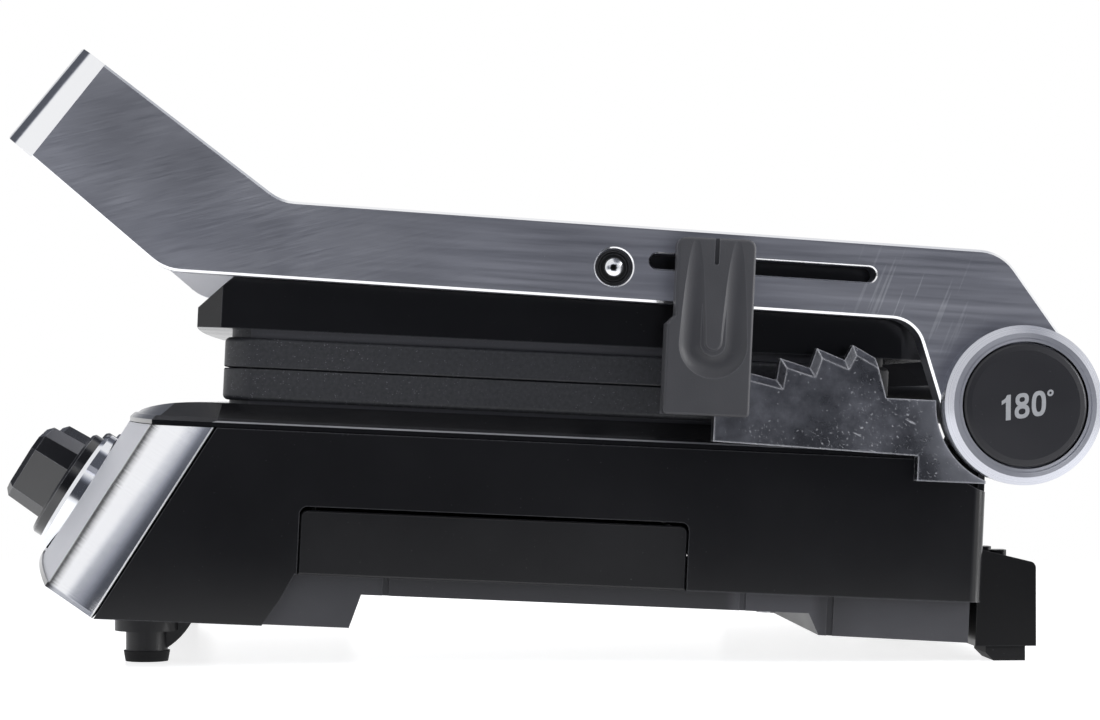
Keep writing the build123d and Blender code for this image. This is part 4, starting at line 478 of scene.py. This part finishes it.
def brushed_steel(name, across, dark, light, rough=0.28, metal=1.0, folded=None):
    """Steel sheet brushed across a direction.

    A bent sheet gives its two edges as folded, by how far they lie out of the front panel: it has
    a dark seam and a painted white highlight line at the first, a painted dark reflection along the
    crease at the last, and is wound a little.
    """
    n = Material(name)
    lines = n.lines(n.along(across), 2600.0, detail=4, rough=0.7)
    streak = n.strokes((5, 110, 110))
    tone = n.tones(lines, dark, light)
    roughness = n.plus(n.vary(lines, rough * 0.8, rough * 1.2), n.vary(streak, -0.03, 0.03))
    under = None
    if folded:
        first, last = folded
        out = n.along(PANEL_OUT)
        seam = n.fall(out, *(first + past for past in TRIM_SEAM))
        highlight_line = n.fall(out, *(first + past for past in TRIM_HIGHLIGHT_LINE))
        combed = n.plus(out, n.vary(lines, -TRIM_REFLECTION_COMB, TRIM_REFLECTION_COMB))
        crease_reflection = n.rise(combed, *(last - before for before in TRIM_CREASE_REFLECTION))
        crease_reflection = n.math("POWER", crease_reflection, 1.6)
        # painted dark reflection along the crease, then a painted white highlight line by the seam
        tone = n.mix(n.times(crease_reflection, 0.95), tone, (0.03, 0.03, 0.033))
        tone = n.mix(n.times(highlight_line, 0.9), tone, WHITE)
        tone = n.mix(seam, tone, (0.02, 0.02, 0.02))
        roughness = n.plus(roughness, n.times(highlight_line, 0.4))
        # the sheet's lower end faces further outward
        below = n.math("SUBTRACT", n.along(PANEL_DOWN), TRIM_LEVEL)
        under = n.bump(n.times(n.math("SUBTRACT", out, first), below, TRIM_WINDING))
    n.use("Base Color", tone)
    n.use("Roughness", roughness)
    n.use("Normal", n.bump(lines, 0.05, GRAIN_DEPTH, under))
    n.set(Metallic=metal, Anisotropic=0.4)
    return n.mat


def plastic(name, tone, rough, grain, strength, specular, rim_highlight=0.0, edge_highlight=0.0, zones=()):
    """Moulded plastic with a grain of some fineness and strength, faint clouding and dust specks.

    A painted highlight on the deck's rim and painted highlights along sharp edges are shares of a
    paler tone; zones are (y, share of the tone) from front to rear, for painted light and shade.
    """
    clouding, uneven = 0.25, 0.6
    n = Material(name)
    fine = n.noise(grain, detail=2)
    cloud = n.noise(22.0)
    speck = n.peaks(n.noise(900.0, detail=1), 0.76, 0.80)
    darker = tuple(c * (1 - clouding) for c in tone)
    lighter = tuple(c * (1 + clouding) for c in tone)
    colour = n.mix(cloud, darker, lighter)
    # painted light and shade along the underside, by y
    if zones:
        front, rear = zones[0][0], zones[-1][0]
        stops = [((y - front) / (rear - front), share) for y, share in zones]
        shares = n.ramp(n.rise(n.at("Y"), front, rear), stops)
        colour = n.mix(shares, BLACK, colour)
    colour = n.mix(n.times(speck, 0.10), colour, (0.35, 0.35, 0.36))
    # a painted highlight along the deck's rim
    if rim_highlight:
        rim_painted_light = n.times(n.facing("X", *DECK_RIM_LEAN_X), n.facing("Z", *DECK_RIM_LEAN_Z))
        rim_painted_light = n.times(rim_painted_light, n.math("GREATER_THAN", n.off_middle(), DECK_RIM_X))
        rim_painted_light = n.times(rim_painted_light, n.vary(cloud, uneven * rim_highlight, rim_highlight))
        colour = n.mix(rim_painted_light, colour, (0.75, 0.75, 0.77))
    # painted highlights along sharp edges
    if edge_highlight:
        highlight_strip = n.times(n.edges(0.0006), n.vary(fine, uneven * edge_highlight, edge_highlight))
        colour = n.mix(highlight_strip, colour, (0.55, 0.55, 0.57))
    n.use("Base Color", colour)
    n.use("Roughness", n.vary(cloud, rough * 0.88, rough * 1.12))
    n.use("Normal", n.bump(fine, strength, GRAIN_DEPTH))
    n.set(Specular_IOR_Level=specular)
    return n.mat


def non_stick():
    """Dark coating with mineral sparkle, denser in drifts and toward the front."""
    n = Material("non_stick")
    cells = n.new("ShaderNodeTexVoronoi", Scale=1150.0)
    n.put(n.place(), cells.inputs["Vector"])
    spark = n.ramp(cells.outputs["Distance"], ((0.14, 1.0), (0.24, 0.0)))
    keep = n.peaks(n.noise(420.0, detail=1), 0.50, 0.62)
    drift = n.remap(n.noise(14.0, detail=2), 0.35, 0.65, 0.15, 0.8)
    drift = n.most(drift, n.fall(n.at("Y"), *SPARKLE_FRONT))
    cloud = n.noise(18.0)
    fine = n.noise(700.0)
    colour = n.mix(n.vary(fine, 0.0, 1.0), (0.034, 0.035, 0.038), (0.058, 0.059, 0.064))
    colour = n.mix(n.times(spark, keep, drift), colour, (0.32, 0.32, 0.34))
    # painted light: the seat's rim behind the plate's edge is paler, lifted against the shade it
    # lies in
    rim_painted_light = n.math("LESS_THAN", n.off_middle(), PLATE_SEAT_X)
    rim_painted_light = n.times(rim_painted_light, n.facing("X", 0.90))
    n.use("Base Color", n.mix(n.times(rim_painted_light, 0.7), colour, (0.11, 0.11, 0.12)))
    n.use("Roughness", n.vary(cloud, 0.44, 0.54))
    n.use("Normal", n.bump(fine, 0.14, GRAIN_DEPTH))
    n.set(Specular_IOR_Level=0.45)
    return n.mat


def rack_metal():
    """Smooth dark casting with mottling, painted highlights along its edges, and scuffs and flakes
    low on its face.
    """
    n = Material("rack_metal")
    cloud = n.noise(45.0, detail=5, rough=0.65)
    fine = n.noise(300.0, detail=4, rough=0.7)
    flake = n.strokes((120, 840, 520), rise=28, detail=6, rough=0.75)
    thread = n.strokes((60, 60, 500), rise=-24, detail=4, rough=0.7)
    scuff = n.most(n.peaks(flake, 0.60, 0.64), n.peaks(thread, 0.66, 0.69))
    scuff = n.times(scuff, n.near(SCUFFED_SPOTS))
    speck = n.peaks(n.noise(650.0, detail=1), 0.72, 0.76)
    marks = n.most(scuff, n.times(speck, 0.35))
    colour = n.ramp(cloud, ((0.35, (0.13, 0.134, 0.150)), (0.65, (0.26, 0.267, 0.296))))
    colour = n.mix(n.remap(fine, 0.4, 0.75, 0.0, 0.3), colour, (0.06, 0.062, 0.07))
    # toward the hub the casting was dressed bright
    dressed = n.remap(n.distance(HUB), *RACK_DRESSED, 0.55, 0.0)
    colour = n.mix(dressed, colour, (0.62, 0.63, 0.67))
    bevel = n.times(n.facing("X", 0.25, 0.95), n.remap(fine, 0.45, 0.65, 0.15, 0.6))
    colour = n.mix(bevel, colour, (0.10, 0.10, 0.11))
    colour = n.mix(n.times(marks, 0.8), colour, (0.88, 0.88, 0.9))
    # painted highlights along the sharp edges
    highlight_strip = n.times(n.edges(0.0011), n.remap(fine, 0.35, 0.6, 0.55, 1.0))
    n.use("Base Color", n.mix(highlight_strip, colour, (0.97, 0.97, 0.99)))
    scuffs_and_highlights = n.most(marks, highlight_strip)
    n.use("Roughness", n.plus(n.vary(cloud, 0.24, 0.36), n.times(scuffs_and_highlights, 0.4)))
    n.use("Metallic", n.remap(scuffs_and_highlights, 0.0, 1.0, 0.85, 0.0))
    n.use("Normal", n.bump(fine, 0.10, 0.0005))
    return n.mat


def polished(name, tone, rough, turned, metal=1.0, domed=None):
    """Plated or turned metal with streaks, whose fineness along X is given as turned.

    Domed gives the radius of a button head round the pivot, whose socket is painted dark as shade.
    """
    n = Material(name)
    lines = n.strokes((turned, 30, 30))
    cloud = n.noise(40.0, detail=2)
    colour = n.mix(lines, tuple(c * 0.9 for c in tone), tone)
    under = None
    if domed:
        radius = n.distance(PIVOT)
        # painted shade in the socket
        colour = n.mix(n.fall(radius, *BOLT_SOCKET_SHADE), colour, (0.03, 0.03, 0.03))
        under = n.bump(n.times(n.math("POWER", radius, 2.0), -0.5 / domed))
    n.use("Base Color", colour)
    n.use("Roughness", n.vary(cloud, rough * 0.8, rough * 1.2))
    n.use("Normal", n.bump(lines, 0.03, GRAIN_DEPTH, under))
    n.set(Metallic=metal)
    return n.mat


def print_ink():
    """Pale printed figures, a little uneven."""
    n = Material("print_ink")
    uneven = n.noise(400.0, detail=2)
    n.use("Base Color", n.mix(uneven, (0.50, 0.51, 0.52), (0.62, 0.63, 0.64)))
    n.set(Roughness=0.5)
    return n.mat


def add(name, data):
    """A new object of the scene."""
    item = bpy.data.objects.new(name, data)
    bpy.context.scene.collection.objects.link(item)
    return item


def add_mesh(name, points, faces, material):
    """A new mesh object of the scene."""
    mesh = bpy.data.meshes.new(name)
    mesh.from_pydata(points, [], faces)
    mesh.materials.append(material)
    return add(name, mesh)


def disc_spring(material):
    """The coned disc spring under the release button."""
    lowest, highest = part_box("button_spring")
    low, high = lowest[0], highest[0]
    outer = (highest[1] - lowest[1]) / 2
    eye, sheet = SPRING_EYE, SPRING_SHEET
    profile = (
        (low, outer), (low + sheet, outer), (high, eye + sheet),
        (high, eye), (high - sheet, eye), (low, outer - sheet),
    )
    rows = len(profile)
    points, faces = [], []
    for i in range(SPRING_STEPS):
        a = 2 * pi * i / SPRING_STEPS
        points.extend((x, HUB.y + r * cos(a), HUB.z + r * sin(a)) for x, r in profile)
        j = (i + 1) % SPRING_STEPS
        for k in range(rows):
            m = (k + 1) % rows
            faces.append((i * rows + k, i * rows + m, j * rows + m, j * rows + k))
    piece = add_mesh("disc_spring", points, faces, material)
    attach(piece, SPRING_BODY)
    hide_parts("button_spring")
    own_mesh(piece)


def oval(centre, width, height, stroke, power=2.4, steps=40):
    """Outer and inner outline of an oval figure, as two rows of points; a power of 2 is round."""
    rows = []
    for cut in (0.0, stroke):
        row = []
        for i in range(steps):
            a = 2 * pi * i / steps
            c, s = cos(a), sin(a)
            x = copysign(abs(c) ** (2 / power), c) * (width / 2 - cut)
            y = copysign(abs(s) ** (2 / power), s) * (height / 2 - cut)
            row.append((centre[0] + x, centre[1] + y))
        rows.append(row)
    return rows


def button_figures():
    """The number of degrees on the release button's face: 1, 8, 0 and a small ring.

    They are drawn flat, as shares of their height, and then leaned and laid on the face.
    """
    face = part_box("release_button")[1][0]
    points, faces = [], []

    def band(rows, rise=0.0):
        start, steps = len(points), len(rows[0])
        points.extend((x, y, rise) for x, y in rows[0] + rows[1])
        for i in range(steps):
            j = (i + 1) % steps
            faces.append((start + i, start + j, start + steps + j, start + steps + i))

    one = (
        (-0.78, -0.5), (-0.58, -0.5), (-0.58, 0.5), (-0.73, 0.5),
        (-0.80, 0.37), (-0.95, 0.29), (-0.95, 0.13), (-0.78, 0.22),
    )
    points.extend((x, y, 0.0) for x, y in one)
    faces.append(tuple(range(len(one))))
    band(oval((-0.12, -0.225), 0.60, 0.55, FIGURE_STROKE * 0.8))
    band(oval((-0.12, 0.245), 0.54, 0.51, FIGURE_STROKE * 0.8), INK_OVERLAP)
    band(oval((0.56, 0.0), 0.58, 1.0, FIGURE_STROKE * 0.85, 2.6))
    band(oval((1.03, 0.36), 0.26, 0.26, FIGURE_STROKE * 0.4, 2.0, 24))
    c, s = cos(FIGURE_TURN), sin(FIGURE_TURN)
    verts = []
    for lift in INK:
        for x, y, rise in points:
            x = (x - FIGURE_SHIFT + y * FIGURE_LEAN) * FIGURE_HEIGHT
            y = y * FIGURE_HEIGHT
            verts.append((face + lift + rise, HUB.y + x * c - y * s, HUB.z + x * s + y * c))
    count = len(points)
    top = [tuple(i + count for i in loop) for loop in faces]
    under = [tuple(reversed(loop)) for loop in faces]
    piece = add_mesh("button_figures", verts, top + under, print_ink())
    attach(piece, "release")


def stage_floor():
    """A white floor that fades out to the white surroundings away from the grill."""
    n = Material("floor_white")
    n.set(Roughness=0.22, Specular_IOR_Level=0.10)
    cloud = n.noise(3.0, detail=2)
    n.use("Base Color", n.mix(cloud, (0.78, 0.78, 0.78), (0.80, 0.80, 0.80)))
    # eye and mirror see most of the floor's white as it is, and the rest carries the shadow
    glow = n.new("ShaderNodeEmission", Strength=FLOOR_GLOW)
    path = n.new("ShaderNodeLightPath").outputs
    n.put(n.most(path["Is Camera Ray"], path["Is Glossy Ray"]), glow.inputs["Color"])
    both = n.new("ShaderNodeAddShader")
    n.put(n.shader.outputs[0], both.inputs[0])
    n.put(glow.outputs[0], both.inputs[1])
    clear = n.new("ShaderNodeBsdfTransparent")
    fade = n.new("ShaderNodeMixShader")
    gone = n.rise(n.length(n.place()), FLOOR_SOLID, FLOOR_GONE)
    n.put(gone, fade.inputs[0])
    n.put(both.outputs[0], fade.inputs[1])
    n.put(clear.outputs[0], fade.inputs[2])
    n.put(fade.outputs[0], n.tree.nodes["Material Output"].inputs["Surface"])
    corners = [(-FLOOR, -FLOOR, 0), (FLOOR, -FLOOR, 0), (FLOOR, FLOOR, 0), (-FLOOR, FLOOR, 0)]
    floor = add_mesh("floor", corners, [(0, 1, 2, 3)], n.mat)


def soft_light(name, at, size, power, mirrored):
    """A soft box; one that isn't mirrored gives light but isn't seen in glossy surfaces."""
    data = bpy.data.lights.new(name, "AREA")
    data.shape = "RECTANGLE"
    data.size, data.size_y = size
    data.energy = power
    lamp = add(name, data)
    lamp.location = at
    lamp.rotation_euler = (LIT_MIDDLE - Vector(at)).to_track_quat("-Z", "Y").to_euler()
    lamp.visible_glossy = mirrored


def surroundings():
    """White to the eye, a bright room with dark flags to glossy surfaces, and soft light else."""
    world = bpy.data.worlds.new("surroundings")
    world.use_nodes = True
    bpy.context.scene.world = world
    world.node_tree.nodes.clear()
    n = Tree(world.node_tree)
    way = n.new("ShaderNodeTexCoord").outputs["Generated"]
    room = ROOM
    for direction, start, full, share in FLAGS:
        toward = n.dot(way, Vector(direction).normalized())
        room = n.times(room, n.remap(toward, start, full, 1.0, share, "SMOOTHSTEP"))
    path = n.new("ShaderNodeLightPath").outputs
    soft = n.mix(path["Is Glossy Ray"], AMBIENT, room, "FLOAT")
    seen = n.most(path["Is Camera Ray"], path["Is Transmission Ray"])
    strength = n.mix(seen, soft, 1.0, "FLOAT")
    back = n.new("ShaderNodeBackground")
    n.put(strength, back.inputs["Strength"])
    n.put(n.mix(strength, DIM, WHITE), back.inputs["Color"])
    n.put(back.outputs[0], n.new("ShaderNodeOutputWorld").inputs["Surface"])


def camera():
    """The camera of the photograph."""
    data = bpy.data.cameras.new("camera")
    data.sensor_fit = "HORIZONTAL"
    data.sensor_width = SENSOR
    data.lens = LENS
    data.clip_start, data.clip_end = CAMERA_RANGE
    view = add("camera", data)
    view.location = CAMERA_AT
    forward = Vector((
        -cos(CAMERA_YAW) * cos(CAMERA_PITCH),
        sin(CAMERA_YAW) * cos(CAMERA_PITCH),
        sin(CAMERA_PITCH),
    ))
    view.rotation_euler = forward.to_track_quat("-Z", "Y").to_euler()
    bpy.context.scene.camera = view


def dress(material, *names):
    """Gives a material to nodes of the frame."""
    for name in names:
        for slot in NODES[name].material_slots:
            slot.material = material


# Metals
dress(cast_aluminium(), "lift_frame")
dress(turned_aluminium(), "hub_ring_right", "hub_ring_left")
trim_sides = [v.co for v in NODES["front_trim"].data.vertices if abs(v.co.x) > TRIM_SIDE_X]
trim_outs = [point.dot(PANEL_OUT) for point in trim_sides]
dress(
    brushed_steel("trim_steel", PANEL_DOWN, (0.88, 0.885, 0.91), (0.96, 0.965, 0.985),
                  rough=0.10, folded=(min(trim_outs), max(trim_outs))),
    "front_trim",
)
dress(
    brushed_steel("fascia_steel", PANEL_DOWN, (0.93, 0.93, 0.95), (0.97, 0.97, 0.985),
                  rough=0.50, metal=0.15),
    "control_fascia",
)
dress(
    brushed_steel("cover_steel", Vector((0, 1, 0)), (0.58, 0.59, 0.62), (0.72, 0.73, 0.76)),
    "head_cover",
)
dress(rack_metal(), "height_rack")
dress(
    polished("bezel_chrome", (0.86, 0.87, 0.90), rough=0.08, turned=200),
    "knob_bezel_right", "knob_bezel_left",
)
dress(
    polished("bolt_steel", (0.88, 0.89, 0.92), rough=0.20, turned=900, metal=0.9, domed=BOLT_DOME),
    "pivot_bolt_right", "pivot_bolt_left",
)
machined = polished("machined_steel", (0.55, 0.55, 0.57), rough=0.28, turned=900)
dress(machined, "button_spring", "cover_screws")
dress(
    polished("heater_tube", (0.22, 0.21, 0.20), rough=0.40, turned=500),
    "lower_heater", "upper_heater",
)
dress(
    polished("bright_sheet", (0.70, 0.70, 0.70), rough=0.30, turned=60),
    "lower_reflector", "upper_reflector",
)

# Plastics, rubber and the plates' coating
dress(
    plastic("gloss_black", (0.0140, 0.0140, 0.0152), rough=0.16, grain=900.0, strength=0.01,
            specular=0.42, edge_highlight=0.25),
    "base_shell", "head_shell",
)
dress(
    plastic("stand_black", (0.006, 0.006, 0.0068), rough=0.30, grain=900.0, strength=0.02,
            specular=0.22, edge_highlight=0.10),
    "rear_stand",
)
dress(
    plastic("deck_gloss", (0.0085, 0.0085, 0.0095), rough=0.16, grain=900.0, strength=0.01,
            specular=0.36, rim_highlight=0.55),
    "deck_frame",
)
dress(
    plastic("knob_black", (0.010, 0.010, 0.011), rough=0.16, grain=800.0, strength=0.01,
            specular=0.9, edge_highlight=0.55),
    "temperature_knob", "timer_knob",
)
dress(
    plastic("panel_black", (0.010, 0.010, 0.0112), rough=0.36, grain=1400.0, strength=0.08,
            specular=0.32, edge_highlight=0.12),
    "drip_tray",
)
dress(
    plastic("button_black", (0.029, 0.029, 0.033), rough=0.38, grain=1600.0, strength=0.10,
            specular=0.42),
    "release_button", "hub_cap_left",
)
dress(
    plastic("washer_black", (0.011, 0.011, 0.011), rough=0.40, grain=1600.0, strength=0.10,
            specular=0.30, edge_highlight=0.35),
    "pivot_washers",
)
dress(
    plastic("shadow_black", (0.005, 0.005, 0.006), rough=0.50, grain=1600.0, strength=0.10,
            specular=0.10),
    "hinge_post_right", "hinge_post_left", "hinge_bushes", "left_bracket", "hinge_shaft",
)
dress(
    plastic("under_plastic", (0.130, 0.130, 0.142), rough=0.42, grain=1200.0, strength=0.12,
            specular=0.45, edge_highlight=0.15, zones=UNDER_LIGHT_AND_SHADE),
    "bottom_cover",
)
dress(
    plastic("foot_plastic", (0.016, 0.016, 0.018), rough=0.40, grain=1200.0, strength=0.12,
            specular=0.36),
    "front_feet", "cord_gland", "thermostat_unit", "timer_unit", "terminal_block",
)
dress(
    plastic("slider_grey", (0.090, 0.090, 0.096), rough=0.46, grain=1500.0, strength=0.20,
            specular=0.36, edge_highlight=0.22),
    "height_slider", "slider_clip",
)
dress(
    plastic("rubber", (0.014, 0.014, 0.015), rough=0.70, grain=900.0, strength=0.25,
            specular=0.25),
    "front_pads", "rear_feet",
)
dress(non_stick(), "lower_grill_plate", "upper_grill_plate")

# Pieces of the scene's own
disc_spring(machined)
button_figures()

# Stage
bpy.context.scene.view_settings.view_transform = "Standard"
stage_floor()
surroundings()
soft_light("top_box", (0.2, 0.0, 1.3), (1.4, 1.6), power=8.5, mirrored=False)
soft_light("front_box", (0.1, -1.5, 0.6), (1.0, 0.9), power=3.0, mirrored=False)
soft_light("rear_box", (0.45, 1.5, 0.45), (0.7, 0.9), power=18.0, mirrored=True)
camera()
